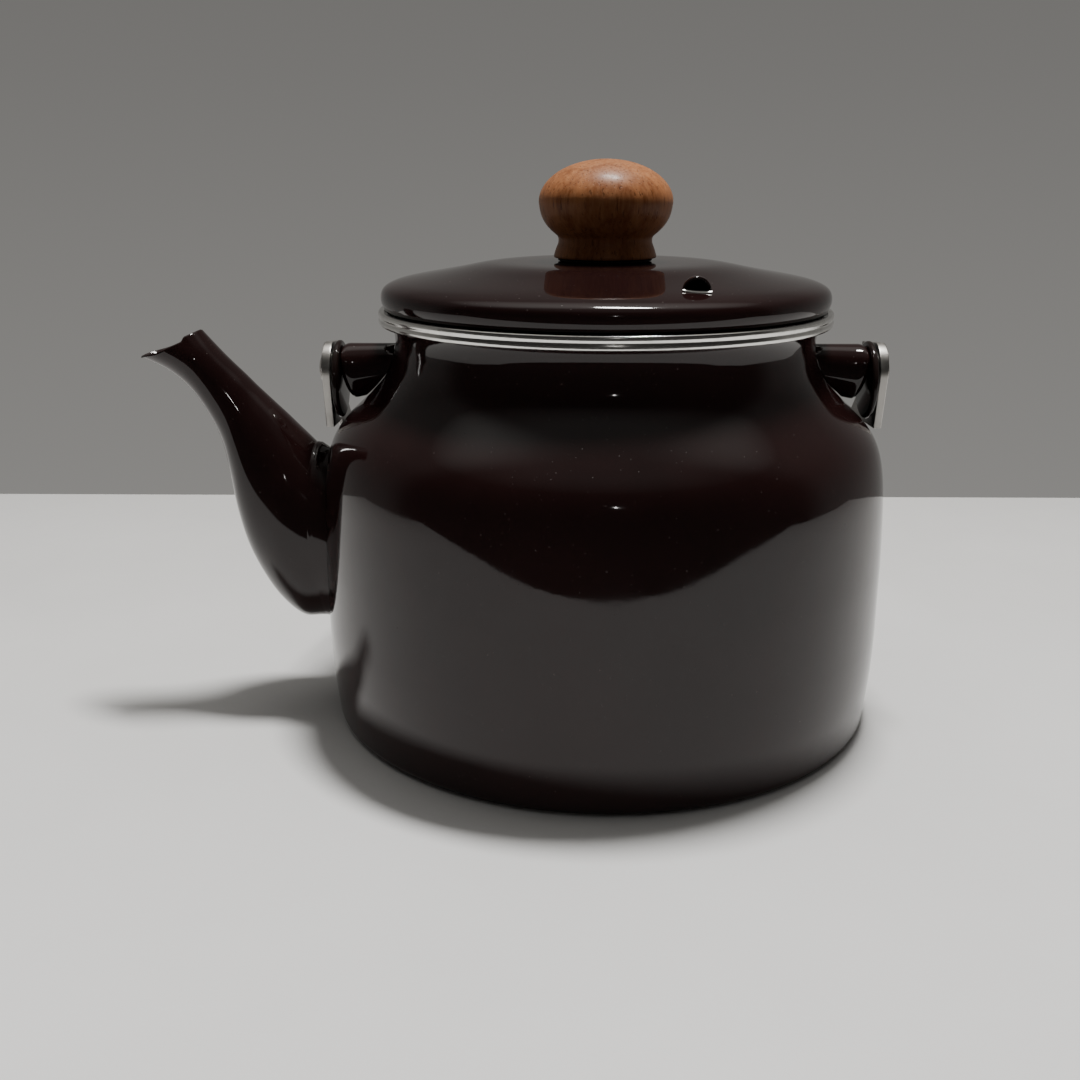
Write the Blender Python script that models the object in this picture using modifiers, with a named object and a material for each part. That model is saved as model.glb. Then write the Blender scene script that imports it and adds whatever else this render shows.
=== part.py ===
"""Enamelled stovetop kettle with a gooseneck spout, a lift-off lid and a folding bail handle.

Metres, +Z up.  The origin is the middle of the flat base.  The spout points to -X, the handle
turns about a line parallel to X through the two ears, and is modelled folded back towards +Y.
"""

import math

import bmesh
import bpy
from mathutils import Matrix, Vector

MM = 0.001
GAP = 0.3 * MM                      # clearance between separate pieces
STEPS = 40                          # segments of the large turned pieces
STEPS_SMALL = 20                    # segments of the small turned pieces
STEPS_PIN = 12                      # segments of the thin pins and their bores

# Body: outer surface of the drawn steel vessel
WALL = 1.2 * MM
BODY_R = 95.0 * MM
BASE_CORNER = 3.5 * MM
HEEL_R = BODY_R - 2.0 * MM
BASE_R = HEEL_R - BASE_CORNER
NECK_R = 69.5 * MM
LIP_R = NECK_R + 3.7 * MM
LIP_Z = 134.9 * MM
LIP_POINTS = 7                      # points of the rolled lip in the body's profile
NECK_Z = LIP_Z - 8.9 * MM
SHOULDER_Z = NECK_Z - 38.0 * MM

# Rim band folded over the lip
BAND_WALL = 0.9 * MM
BAND_R = LIP_R + BAND_WALL + 0.6 * MM
BAND_TOP = LIP_Z + 3.2 * MM
BAND_BOTTOM = LIP_Z - 1.5 * MM

# Spout: distances out from the body's side, and heights of its root and its mouth
SPOUT_WALL = 1.3 * MM
SPOUT_TIP_OUT = 61.4 * MM
SPOUT_BACK_OUT = 40.3 * MM
SPOUT_TIP_Z = LIP_Z - 13.6 * MM
SPOUT_BACK_Z = LIP_Z - 4.5 * MM
SPOUT_ROOT_LOW = 29.4 * MM
SPOUT_ROOT_HIGH = NECK_Z - 36.5 * MM
SPOUT_ROOT_HALF = 19.5 * MM
SPOUT_MOUTH_HALF = 8.6 * MM
SPOUT_SIDES = 24                    # corners of each section of the spout
SPOUT_ROWS = 19                     # sections along the spout
MOUTH_NARROWING = 0.28              # share by which the pouring lip is narrower than the mouth
COLLAR_FLARE = 2.4 * MM
PORT_R = 14.0 * MM                  # hole in the body's side behind the spout

# Ears and pivots
PIVOT_Z = NECK_Z - 8.7 * MM
EAR_END = BODY_R - 7.5 * MM
EAR_TOP = NECK_Z - 0.2 * MM
EAR_BOTTOM = EAR_TOP - 18.2 * MM
EAR_HALF = 8.5 * MM
EAR_WALL = 1.3 * MM
DISC_R = 13.0 * MM
DISC_Z = PIVOT_Z - 3.5 * MM
DISC_THICK = 2.1 * MM
RIVET_R = 2.5 * MM
RIVET_HEAD_R = 4.9 * MM
RIVET_HEAD_H = 1.8 * MM
WASHER_R = 6.0 * MM
WASHER_THICK = 0.5 * MM
DISC_IN = EAR_END + GAP
WASHER_IN = DISC_IN + DISC_THICK + GAP / 2
PLATE_IN = WASHER_IN + WASHER_THICK + GAP

# Bail handle, upright in its own frame: x across, z away from the pivot line
PLATE_THICK = 2.9 * MM
PLATE_OUT = PLATE_IN + PLATE_THICK
PLATE_TIP_R = 9.0 * MM
PLATE_CORNER = (17.6 * MM, 9.0 * MM)
ARM_HALF = 6.0 * MM
ARM_THICK = 2.0 * MM
ARM_BEND_R = 45.0 * MM
GRIP_R = 12.3 * MM
GRIP_END_R = GRIP_R - 2.1 * MM
GRIP_HALF = 46.0 * MM
GRIP_DROP = 97.0 * MM               # how far the folded grip's middle lies below the pivots
TANG_END = 26.0 * MM
FERRULE_LEN = 6.5 * MM
FERRULE_WALL = 0.9 * MM
PIN_X = 34.5 * MM
PIN_R = 1.5 * MM
GRIP_REACH = BODY_R + GRIP_R + 1.5 * GAP
BAIL_R = math.hypot(GRIP_REACH, GRIP_DROP)
FOLD = math.atan2(GRIP_DROP, GRIP_REACH)                # how far below level the handle lies

# Lid
LID_R = BAND_R - 1.0 * MM
LID_TOP = LIP_Z + 18.0 * MM
LID_LIP_Z = BAND_TOP + 0.5 * MM
LID_WALL = 1.1 * MM
FLANGE_R = NECK_R - 2.3 * MM
FLANGE_WALL = 0.9 * MM
FLANGE_LOW = LIP_Z - 5.4 * MM
FLANGE_HIGH = LID_TOP - 7.3 * MM
VENT_R = LID_R - 11.7 * MM
VENT_DEG = -67.0
VENT_FACING_DEG = -88.0
VENT_SLOPE_DEG = 10.5
VENT_HALF = 3.3 * MM
VENT_HEIGHT = 3.6 * MM
VENT_SHEET = 0.9 * MM
VENT_LENGTH = 5.5 * MM

# Knob
KNOB_R = 21.8 * MM
KNOB_BASE_Z = LID_TOP + 1.1 * MM
KNOB_BASE_R = 16.8 * MM
KNOB_WAIST_R = 15.2 * MM
KNOB_WAIST_Z = KNOB_BASE_Z + 6.6 * MM
KNOB_MID = KNOB_BASE_Z + 17.6 * MM
KNOB_TOP = KNOB_BASE_Z + 31.0 * MM
SEAT_R = 15.4 * MM
SCREW_R = 2.0 * MM
SCREW_TOP = KNOB_MID - 2.6 * MM

MATERIALS = {
    "enamel": ((0.045, 0.017, 0.014, 1.0), 0.12, 0.0),
    "steel": ((0.62, 0.61, 0.58, 1.0), 0.24, 1.0),
    "wood": ((0.36, 0.15, 0.055, 1.0), 0.42, 0.0),
    "dark_metal": ((0.10, 0.10, 0.11, 1.0), 0.22, 1.0),
    "rubber": ((0.02, 0.02, 0.02, 1.0), 0.70, 0.0),
}


def clear_scene():
    for obj in list(bpy.data.objects):
        bpy.data.objects.remove(obj, do_unlink=True)


def new_collection(name):
    coll = bpy.data.collections.new(name)
    bpy.context.scene.collection.children.link(coll)
    return coll


def material(name, kind):
    colour, rough, metal = MATERIALS[kind]
    mat = bpy.data.materials.new(name)
    mat.use_nodes = True
    bsdf = mat.node_tree.nodes["Principled BSDF"]
    bsdf.inputs["Base Color"].default_value = colour
    bsdf.inputs["Roughness"].default_value = rough
    bsdf.inputs["Metallic"].default_value = metal
    mat.diffuse_color = colour
    return mat


def add(name, data, kind=None):
    obj = bpy.data.objects.new(name, data)
    if kind is None:
        CUTTERS.objects.link(obj)
        obj.hide_render = True
        obj.display_type = "WIRE"
    else:
        PARTS.objects.link(obj)
        data.materials.append(material(name + "_mat", kind))
    return obj


def smooth(obj, angle=35.0):
    obj.data.shade_smooth()
    obj.data.set_sharp_from_angle(angle=math.radians(angle))


def spline(points, count):
    """Points read evenly from a smooth curve that passes through the given ones."""
    pts = [Vector(p) for p in points]
    ends = [pts[0] * 2 - pts[1]] + pts + [pts[-1] * 2 - pts[-2]]
    out = []
    spans = len(pts) - 1
    for i in range(count):
        t = spans * i / (count - 1)
        k = min(int(t), spans - 1)
        u = t - k
        a, b, c, d = ends[k:k + 4]
        out.append(0.5 * (2 * b + (c - a) * u + (2 * a - 5 * b + 4 * c - d) * u * u
                          + (3 * b - a - 3 * c + d) * u ** 3))
    return out


def arc(centre, radius, start_deg, end_deg, count):
    out = []
    for i in range(count):
        a = math.radians(start_deg + (end_deg - start_deg) * i / (count - 1))
        out.append(Vector((centre[0] + radius * math.cos(a), centre[1] + radius * math.sin(a))))
    return out


def offset(points, distance):
    """A copy of a profile moved sideways, to the right of its direction of travel."""
    out = []
    last = len(points) - 1
    for i, p in enumerate(points):
        d = (points[min(i + 1, last)] - points[max(i - 1, 0)]).normalized()
        out.append(p + Vector((d.y, -d.x)) * distance)
    return out


def turned(name, profile, kind=None, steps=STEPS, closed=False):
    """A solid of revolution about the object's Z from (radius, height) points."""
    mesh = bpy.data.meshes.new(name)
    verts = [(max(p[0], 0.0), 0.0, p[1]) for p in profile]
    edges = [(i, i + 1) for i in range(len(verts) - 1)]
    if closed:
        edges.append((len(verts) - 1, 0))
    mesh.from_pydata(verts, edges, [])
    obj = add(name, mesh, kind)
    screw = obj.modifiers.new("turn", "SCREW")
    screw.axis = "Z"
    screw.angle = 2 * math.pi
    screw.steps = steps
    screw.render_steps = steps
    screw.use_merge_vertices = True
    screw.merge_threshold = 0.00001
    screw.use_smooth_shade = True
    return obj


def cut(obj, cutter, operation="DIFFERENCE"):
    mod = obj.modifiers.new("cut_" + cutter.name, "BOOLEAN")
    mod.operation = operation
    mod.solver = "EXACT"
    mod.object = cutter


def cylinder(name, radius, depth, location, axis, kind=None, sides=STEPS_SMALL):
    mesh = bpy.data.meshes.new(name)
    bm = bmesh.new()
    bmesh.ops.create_cone(bm, cap_ends=True, segments=sides, radius1=radius, radius2=radius, depth=depth)
    turn = Vector((0, 0, 1)).rotation_difference(Vector(axis)).to_matrix().to_4x4()
    bmesh.ops.transform(bm, matrix=turn, verts=bm.verts)
    bm.to_mesh(mesh)
    bm.free()
    obj = add(name, mesh, kind)
    obj.location = location
    return obj


def block(name, low, high, kind=None):
    mesh = bpy.data.meshes.new(name)
    bm = bmesh.new()
    bmesh.ops.create_cube(bm, size=1.0)
    for v in bm.verts:
        for i in range(3):
            v.co[i] = low[i] if v.co[i] < 0 else high[i]
    bm.to_mesh(mesh)
    bm.free()
    return add(name, mesh, kind)


def slab(name, outline, half_thickness, frame, kind=None):
    """A flat outline of (u, v) points given a thickness, laid in the plane of the frame matrix."""
    curve = bpy.data.curves.new(name + "_outline", "CURVE")
    curve.dimensions = "2D"
    curve.fill_mode = "BOTH"
    curve.extrude = half_thickness
    line = curve.splines.new("POLY")
    line.points.add(len(outline) - 1)
    for point, p in zip(line.points, outline):
        point.co = (p[0], p[1], 0.0, 1.0)
    line.use_cyclic_u = True
    source = bpy.data.objects.new(name + "_outline", curve)
    bpy.context.scene.collection.objects.link(source)
    bpy.context.view_layer.update()
    deps = bpy.context.evaluated_depsgraph_get()
    mesh = bpy.data.meshes.new_from_object(source.evaluated_get(deps))
    mesh.name = name
    bpy.data.objects.remove(source, do_unlink=True)
    bm = bmesh.new()
    bm.from_mesh(mesh)
    bmesh.ops.remove_doubles(bm, verts=bm.verts, dist=0.00001)
    bmesh.ops.transform(bm, matrix=frame, verts=bm.verts)
    bmesh.ops.recalc_face_normals(bm, faces=bm.faces)
    bm.to_mesh(mesh)
    bm.free()
    return add(name, mesh, kind)


# ---------------------------------------------------------------- body

def body_outer(count):
    """Outer side of the vessel from the lip's edge down to the base corner."""
    lip = spline([(LIP_R, LIP_Z),
                  (LIP_R - 1.0 * MM, LIP_Z - 0.3 * MM),
                  (NECK_R + 1.4 * MM, LIP_Z - 1.6 * MM),
                  (NECK_R + 0.3 * MM, LIP_Z - 4.0 * MM),
                  (NECK_R - 0.1 * MM, NECK_Z + 1.5 * MM)], LIP_POINTS)
    swell = BODY_R - NECK_R
    fall = NECK_Z - SHOULDER_Z
    shares = ((0.0, 0.0), (0.067, 0.18), (0.263, 0.368), (0.58, 0.574), (0.82, 0.768), (0.93, 1.0))
    shoulder = [(NECK_R + swell * out, NECK_Z - fall * down) for out, down in shares]
    side = [(BODY_R - 0.6 * MM, SHOULDER_Z * 0.864),
            (BODY_R, SHOULDER_Z * 0.636),
            (BODY_R, SHOULDER_Z * 0.375),
            (BODY_R - 0.8 * MM, SHOULDER_Z * 0.17),
            (HEEL_R, BASE_CORNER)]
    corner = arc((BASE_R, BASE_CORNER), BASE_CORNER, 0, -90, 4)[1:]
    return lip + spline(shoulder + side, count) + corner


def make_body():
    outer = body_outer(15)
    inner = offset(body_outer(11), WALL)
    inner[-1] = Vector((inner[-1].x, WALL))
    profile = [Vector((0, WALL))] + inner[::-1] + outer + [Vector((0, 0))]
    body = turned("body_shell", profile, "enamel")
    middle = (SPOUT_ROOT_LOW + SPOUT_ROOT_HIGH) / 2
    port = cylinder("spout_port", PORT_R, 24 * MM, (-BODY_R, 0, middle), (1, 0, 0))
    cut(body, port)
    smooth(body)


def body_envelope():
    """The vessel's outer shape as a solid, grown by the clearance, that other pieces are cut by."""
    outer = offset(body_outer(15), -GAP)[LIP_POINTS - 1:]
    top = Vector((outer[0].x, NECK_Z + 6 * MM))
    profile = [Vector((0, top.y)), top] + outer + [Vector((0, outer[-1].y))]
    return turned("body_envelope", profile)


def make_rim_band():
    """A C-shaped band, open towards the neck, that wraps the vessel's lip."""
    mouth_r = NECK_R + 1.6 * MM
    hem_r = BAND_R - 2.6 * MM
    outside = [(mouth_r, BAND_TOP),
               (BAND_R - 1.7 * MM, BAND_TOP),
               (BAND_R - 0.5 * MM, BAND_TOP - 0.5 * MM),
               (BAND_R, BAND_TOP - 1.6 * MM),
               (BAND_R, BAND_BOTTOM + 1.6 * MM),
               (BAND_R - 0.5 * MM, BAND_BOTTOM + 0.5 * MM),
               (BAND_R - 1.5 * MM, BAND_BOTTOM),
               (hem_r, BAND_BOTTOM)]
    inside_r = BAND_R - BAND_WALL
    inside = [(hem_r, BAND_BOTTOM + 0.8 * MM),
              (inside_r - 0.7 * MM, BAND_BOTTOM + BAND_WALL),
              (inside_r, BAND_BOTTOM + BAND_WALL + 0.7 * MM),
              (inside_r, BAND_TOP - BAND_WALL - 0.6 * MM),
              (inside_r - 0.6 * MM, BAND_TOP - BAND_WALL),
              (mouth_r, BAND_TOP - BAND_WALL)]
    turned("rim_band", outside + inside, "steel", closed=True)


# ---------------------------------------------------------------- spout

def spout_stations():
    """(lower x, lower z, upper x, upper z, half width) from inside the wall to the pouring mouth."""
    rise = SPOUT_TIP_Z - SPOUT_ROOT_LOW
    climb = SPOUT_BACK_Z - SPOUT_ROOT_HIGH
    root = SPOUT_ROOT_HALF
    rows = []
    for out_low, f, out_high, g, half in (
            (-7.0 * MM, 0.0, -7.0 * MM, -0.2, root),
            (3.0 * MM, 0.0, 1.5 * MM, 0.0, root),
            (10.2 * MM, 0.002, 6.2 * MM, 0.122, root * 0.985),
            (17.6 * MM, 0.072, 9.8 * MM, 0.213, root * 0.955),
            (23.6 * MM, 0.172, 13.0 * MM, 0.296, root * 0.88),
            (28.2 * MM, 0.285, 16.2 * MM, 0.374, root * 0.80),
            (31.2 * MM, 0.415, 19.6 * MM, 0.457, root * 0.71),
            (33.0 * MM, 0.551, 23.0 * MM, 0.54, root * 0.615),
            (35.0 * MM, 0.676, 26.4 * MM, 0.628, root * 0.545),
            (38.9 * MM, 0.781, 29.8 * MM, 0.711, root * 0.50),
            (44.6 * MM, 0.879, 33.2 * MM, 0.797, root * 0.48),
            (51.8 * MM, 0.949, 36.8 * MM, 0.897, SPOUT_MOUTH_HALF * 1.07),
            (SPOUT_TIP_OUT, 1.0, SPOUT_BACK_OUT, 1.0, SPOUT_MOUTH_HALF)):
        rows.append((-BODY_R - out_low, SPOUT_ROOT_LOW + rise * f,
                     -BODY_R - out_high, SPOUT_ROOT_HIGH + climb * g, half))
    return rows


def station_at(t):
    """One section of the spout, t running from 0 at the root to 1 at the mouth."""
    rows = spout_stations()
    spans = len(rows) - 1
    k = min(int(t * spans), spans - 1)
    u = t * spans - k
    four = [rows[max(k - 1, 0)], rows[k], rows[k + 1], rows[min(k + 2, spans)]]
    out = []
    for a, b, c, d in zip(*four):
        out.append(0.5 * (2 * b + (c - a) * u + (2 * a - 5 * b + 4 * c - d) * u * u
                          + (3 * b - a - 3 * c + d) * u ** 3))
    return out


def spout_ring(t, grow):
    """An oval section, narrowed towards the lip near the mouth, grown or shrunk sideways."""
    lx, lz, ux, uz, half = station_at(t)
    low = Vector((lx, 0, lz))
    high = Vector((ux, 0, uz))
    centre = (low + high) / 2
    along = (high - low) / 2
    reach = along.length + grow
    along.normalize()
    narrow = MOUTH_NARROWING * max(0.0, t - 0.8) / 0.2
    ring = []
    for i in range(SPOUT_SIDES):
        a = 2 * math.pi * i / SPOUT_SIDES
        c = math.cos(a)
        width = (half + grow) * (1 - narrow * max(0.0, -c) ** 1.5)
        ring.append(centre + along * reach * c + Vector((0, width * math.sin(a), 0)))
    return ring


def ring_tube(name, outer_rings, inner_rings, kind):
    """A tube wall between two stacks of rings, closed at both ends."""
    bm = bmesh.new()
    stack = outer_rings + inner_rings[::-1]
    rows = [[bm.verts.new(p) for p in ring] for ring in stack]
    for i in range(len(rows)):
        a = rows[i]
        b = rows[(i + 1) % len(rows)]
        for j in range(len(a)):
            k = (j + 1) % len(a)
            bm.faces.new((a[j], a[k], b[k], b[j]))
    bmesh.ops.recalc_face_normals(bm, faces=bm.faces)
    mesh = bpy.data.meshes.new(name)
    bm.to_mesh(mesh)
    bm.free()
    return add(name, mesh, kind)


def make_spout(envelope):
    ts = [i / (SPOUT_ROWS - 1) for i in range(SPOUT_ROWS)]
    outer = [spout_ring(t, 0.0) for t in ts]
    inner = [spout_ring(t, -SPOUT_WALL) for t in ts]
    spout = ring_tube("spout", outer, inner, "enamel")
    cut(spout, envelope)
    smooth(spout)


def make_collar(envelope):
    """The raised bead round the root of the spout."""
    rows = ((0.0, 1.0), (0.05, 1.0), (0.075, 0.96), (0.09, 0.8), (0.102, 0.52), (0.112, 0.22))
    outer = [spout_ring(t, COLLAR_FLARE * share + 2 * GAP) for t, share in rows]
    inner = [spout_ring(t, 1.5 * GAP) for t, share in rows]
    collar = ring_tube("spout_collar", outer, inner, "enamel")
    cut(collar, envelope)
    smooth(collar)


# ---------------------------------------------------------------- ears and pivots

def ear_outline(inset, reach_in):
    """Side outline of an ear: straight top, tight upper corner, round lower corner."""
    top = EAR_TOP - inset
    low = EAR_BOTTOM + inset
    end = EAR_END - inset
    upper_r = max(2.0 * MM - inset, 0.6 * MM)
    lower_r = 6.5 * MM - inset
    rise = 2.2 * MM
    pts = [Vector((reach_in, low + rise)), Vector((end - lower_r, low))]
    pts += arc((end - lower_r, low + lower_r), lower_r, -90, 0, 6)[1:]
    pts += arc((end - upper_r, top - upper_r), upper_r, 0, 90, 4)
    pts.append(Vector((reach_in, top)))
    return pts


def side_frame(sign):
    """Lays an outline drawn in (x, z) upright, mirrored for the left side."""
    return Matrix(((sign, 0, 0, 0), (0, 0, -1, 0), (0, 1, 0, 0), (0, 0, 0, 1)))


def round_edges(obj, width, segments):
    bevel = obj.modifiers.new("round", "BEVEL")
    bevel.width = width
    bevel.segments = segments
    bevel.limit_method = "ANGLE"
    bevel.angle_limit = math.radians(60)


def make_ear(side, sign, envelope):
    ear = slab("ear_" + side, ear_outline(0.0, 60 * MM), EAR_HALF, side_frame(sign), "enamel")
    round_edges(ear, 3.6 * MM, 3)
    hollow_half = EAR_HALF - EAR_WALL
    hollow = slab("ear_hollow_" + side, ear_outline(EAR_WALL, 55 * MM), hollow_half, side_frame(sign))
    round_edges(hollow, 2.6 * MM, 2)
    end = (sign * EAR_END, 0, PIVOT_Z)
    bore = cylinder("ear_bore_" + side, RIVET_R + GAP, 12 * MM, end, (1, 0, 0))
    cut(ear, hollow)
    cut(ear, bore)
    cut(ear, envelope)
    smooth(ear, 40)


def turned_x(name, profile, sign, height, kind, bore=None):
    """A piece turned about X: profile is (distance out along X, radius) from the inner end outwards."""
    pts = [(r, x) for x, r in profile][::-1]
    obj = turned(name, pts, kind, STEPS_SMALL)
    obj.rotation_euler = (0, sign * math.radians(90), 0)
    obj.location = (0, 0, height)
    if bore:
        cut(obj, bore)
    return obj


def make_pivot(side, sign):
    disc_out = DISC_IN + DISC_THICK
    place = (sign * disc_out, 0, PIVOT_Z)
    bore = cylinder("pivot_bore_" + side, RIVET_R + GAP, 20 * MM, place, (1, 0, 0))
    edge = 0.7 * MM
    disc = [(DISC_IN, 0),
            (DISC_IN, DISC_R - edge),
            (DISC_IN + edge * 0.5, DISC_R - edge * 0.15),
            (DISC_IN + DISC_THICK / 2, DISC_R),
            (disc_out - edge * 0.5, DISC_R - edge * 0.15),
            (disc_out, DISC_R - edge),
            (disc_out, 0)]
    turned_x("ear_disc_" + side, disc, sign, DISC_Z, "dark_metal", bore)
    washer_out = WASHER_IN + WASHER_THICK
    washer = [(WASHER_IN, 0), (WASHER_IN, WASHER_R), (washer_out, WASHER_R), (washer_out, 0)]
    turned_x("pivot_washer_" + side, washer, sign, PIVOT_Z, "steel", bore)
    head_in = PLATE_OUT + GAP
    inner_in = EAR_END - EAR_WALL - GAP
    tail_in = inner_in - 1.6 * MM
    rivet = [(tail_in, 0),
             (tail_in, RIVET_R + 0.5 * MM),
             (inner_in, RIVET_R + 1.3 * MM),
             (inner_in, RIVET_R),
             (head_in, RIVET_R),
             (head_in, RIVET_HEAD_R)]
    for degrees in (20, 40, 60, 78):
        a = math.radians(degrees)
        rivet.append((head_in + RIVET_HEAD_H * math.sin(a), RIVET_HEAD_R * math.cos(a)))
    rivet.append((head_in + RIVET_HEAD_H, 0))
    turned_x("pivot_rivet_" + side, rivet, sign, PIVOT_Z, "steel")


# ---------------------------------------------------------------- bail handle

def tangent_point(radius, corner):
    """Where a line from a corner touches a circle at the origin, on the side away from the arm."""
    reach = math.hypot(*corner)
    swing = math.acos(radius / reach)
    bearing = math.atan2(corner[1], corner[0])
    a = bearing - swing if corner[0] > 0 else bearing + swing
    return radius * math.cos(a), radius * math.sin(a)


def plate_outline():
    """Diamond end plate in (y, z): round end at the pivot, two corners, running into the arm."""
    u, v = PLATE_CORNER
    right = tangent_point(PLATE_TIP_R, (u, v))
    start = math.degrees(math.atan2(right[1], right[0]))
    pts = arc((0, 0), PLATE_TIP_R, 180 - start, 360 + start, 11)
    nick = 0.8 * MM
    taper = v + (u - ARM_HALF) * 1.22
    pts += [Vector((u - nick * 0.7, v - nick * 0.7)), Vector((u - nick * 0.6, v + nick * 0.8))]
    pts += [Vector((ARM_HALF, taper)), Vector((-ARM_HALF, taper))]
    pts += [Vector((-u + nick * 0.6, v + nick * 0.8)), Vector((-u + nick * 0.7, v - nick * 0.7))]
    return pts


def arm_outline():
    """Edge view of one arm in (x, z): straight from the plate, one bend, then the tang."""
    mid = PLATE_OUT - PLATE_THICK / 2
    out_r = ARM_BEND_R + ARM_THICK / 2
    in_r = ARM_BEND_R - ARM_THICK / 2
    cx = mid - ARM_BEND_R
    cz = BAIL_R - ARM_BEND_R
    root = 5 * MM
    pts = [Vector((mid + ARM_THICK / 2, root))]
    pts += arc((cx, cz), out_r, 0, 90, 11)
    pts += [Vector((TANG_END, BAIL_R + ARM_THICK / 2)), Vector((TANG_END, BAIL_R - ARM_THICK / 2))]
    pts += arc((cx, cz), in_r, 90, 0, 11)
    pts.append(Vector((mid - ARM_THICK / 2, root)))
    return pts


def plate_frame(sign):
    """Lays an outline drawn in (y, z) in the plane of the end plate."""
    x = sign * (PLATE_OUT - PLATE_THICK / 2)
    return Matrix(((0, 0, 1, x), (1, 0, 0, 0), (0, 1, 0, 0), (0, 0, 0, 1)))


def make_arm(side, sign, hinge):
    arm = slab("bail_arm_" + side, arm_outline(), ARM_HALF - 0.1 * MM, side_frame(sign), "steel")
    plate = slab("bail_plate_" + side, plate_outline(), PLATE_THICK / 2, plate_frame(sign))
    bore = cylinder("arm_bore_" + side, RIVET_R + GAP, 8 * MM, (sign * PLATE_OUT, 0, 0), (1, 0, 0))
    pin_at = (sign * PIN_X, 0, BAIL_R)
    pin_bore = cylinder("tang_bore_" + side, PIN_R + GAP, 8 * MM, pin_at, (0, 0, 1), sides=STEPS_PIN)
    for piece in (arm, plate, bore, pin_bore):
        piece.parent = hinge
    cut(arm, plate, "UNION")
    cut(arm, bore)
    cut(arm, pin_bore)
    smooth(arm, 30)


def tang_slot(name, sign, inner, outer, hinge):
    """A block, a clearance larger than the tang, between two distances out from the grip's middle."""
    low_x, high_x = sorted((sign * inner, sign * outer))
    half_y = ARM_HALF + GAP
    half_z = ARM_THICK / 2 + GAP
    slot = block(name, (low_x, -half_y, BAIL_R - half_z), (high_x, half_y, BAIL_R + half_z))
    slot.parent = hinge
    return slot


def make_grip(hinge):
    """Turned barrel grip with reduced ends for the ferrules and a slot for each tang."""
    step = GRIP_HALF - FERRULE_LEN + FERRULE_WALL + GAP
    seat_r = GRIP_END_R - FERRULE_WALL - GAP
    shoulder_r = GRIP_END_R + 1.0 * MM
    waist_r = GRIP_R - 0.3 * MM
    body = spline([(-step, GRIP_END_R),
                   (-step * 0.72, shoulder_r),
                   (-step * 0.36, waist_r),
                   (0, GRIP_R),
                   (step * 0.36, waist_r),
                   (step * 0.72, shoulder_r),
                   (step, GRIP_END_R)], 15)
    end = GRIP_HALF
    profile = [(-end, 0), (-end, seat_r), (-step, seat_r)] + [(p.x, p.y) for p in body]
    profile += [(step, seat_r), (end, seat_r), (end, 0)]
    grip = turned_x("bail_grip", profile, 1, BAIL_R, "wood")
    grip.parent = hinge
    for side, sign in SIDES:
        slot = tang_slot("grip_slot_" + side, sign, TANG_END - GAP, GRIP_HALF + 2 * MM, hinge)
        pin_at = (sign * PIN_X, 0, BAIL_R)
        bore = cylinder("grip_bore_" + side, PIN_R + GAP, 3 * GRIP_R, pin_at, (0, 0, 1), sides=STEPS_PIN)
        bore.parent = hinge
        cut(grip, slot)
        cut(grip, bore)


def make_ferrule(side, sign, hinge):
    inner = GRIP_HALF - FERRULE_LEN + FERRULE_WALL + 2 * GAP
    cap_in = GRIP_HALF + GAP
    cap_out = cap_in + FERRULE_WALL
    r_in = GRIP_END_R - FERRULE_WALL
    chamfer = 0.8 * MM
    profile = [(cap_in, 0),
               (cap_in, r_in),
               (inner, r_in),
               (inner, GRIP_END_R),
               (cap_out - chamfer, GRIP_END_R),
               (cap_out, GRIP_END_R - chamfer),
               (cap_out, 0)]
    ferrule = turned_x("grip_ferrule_" + side, profile, sign, BAIL_R, "steel")
    ferrule.parent = hinge
    slot = tang_slot("ferrule_slot_" + side, sign, GRIP_HALF - 1 * MM, cap_out + 2 * MM, hinge)
    cut(ferrule, slot)


def make_grip_pin(side, sign, hinge):
    """A pin through the grip and the tang, pointed a little at both ends."""
    half = GRIP_END_R + 0.9 * MM
    point = 0.3 * MM
    profile = [(0, BAIL_R + half),
               (PIN_R, BAIL_R + half - point),
               (PIN_R, BAIL_R - half + point),
               (0, BAIL_R - half)]
    pin = turned("grip_pin_" + side, profile, "steel", STEPS_PIN)
    pin.location = (sign * PIN_X, 0, 0)
    pin.parent = hinge


def make_bail():
    hinge = bpy.data.objects.new("bail_hinge", None)
    PARTS.objects.link(hinge)
    hinge.location = (0, 0, PIVOT_Z)
    hinge.rotation_euler = (-math.pi / 2 - FOLD, 0, 0)
    for side, sign in SIDES:
        make_arm(side, sign, hinge)
        make_ferrule(side, sign, hinge)
        make_grip_pin(side, sign, hinge)
    make_grip(hinge)


# ---------------------------------------------------------------- lid

def lid_outer(count):
    """Outer side of the lid from the rim of its flat middle down to its edge."""
    drops = ((0.41, 0.0), (0.52, 0.4), (0.65, 2.1), (0.787, 3.95), (0.895, 5.4), (0.957, 6.7))
    slope = [(LID_R * share, LID_TOP - drop * MM) for share, drop in drops]
    edge = [(LID_R - 0.8 * MM, LID_TOP - 8.3 * MM),
            (LID_R, LID_TOP - 10.8 * MM),
            (LID_R - 0.3 * MM, LID_LIP_Z + 1.5 * MM),
            (LID_R - 1.0 * MM, LID_LIP_Z)]
    return spline(slope + edge, count)


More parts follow.
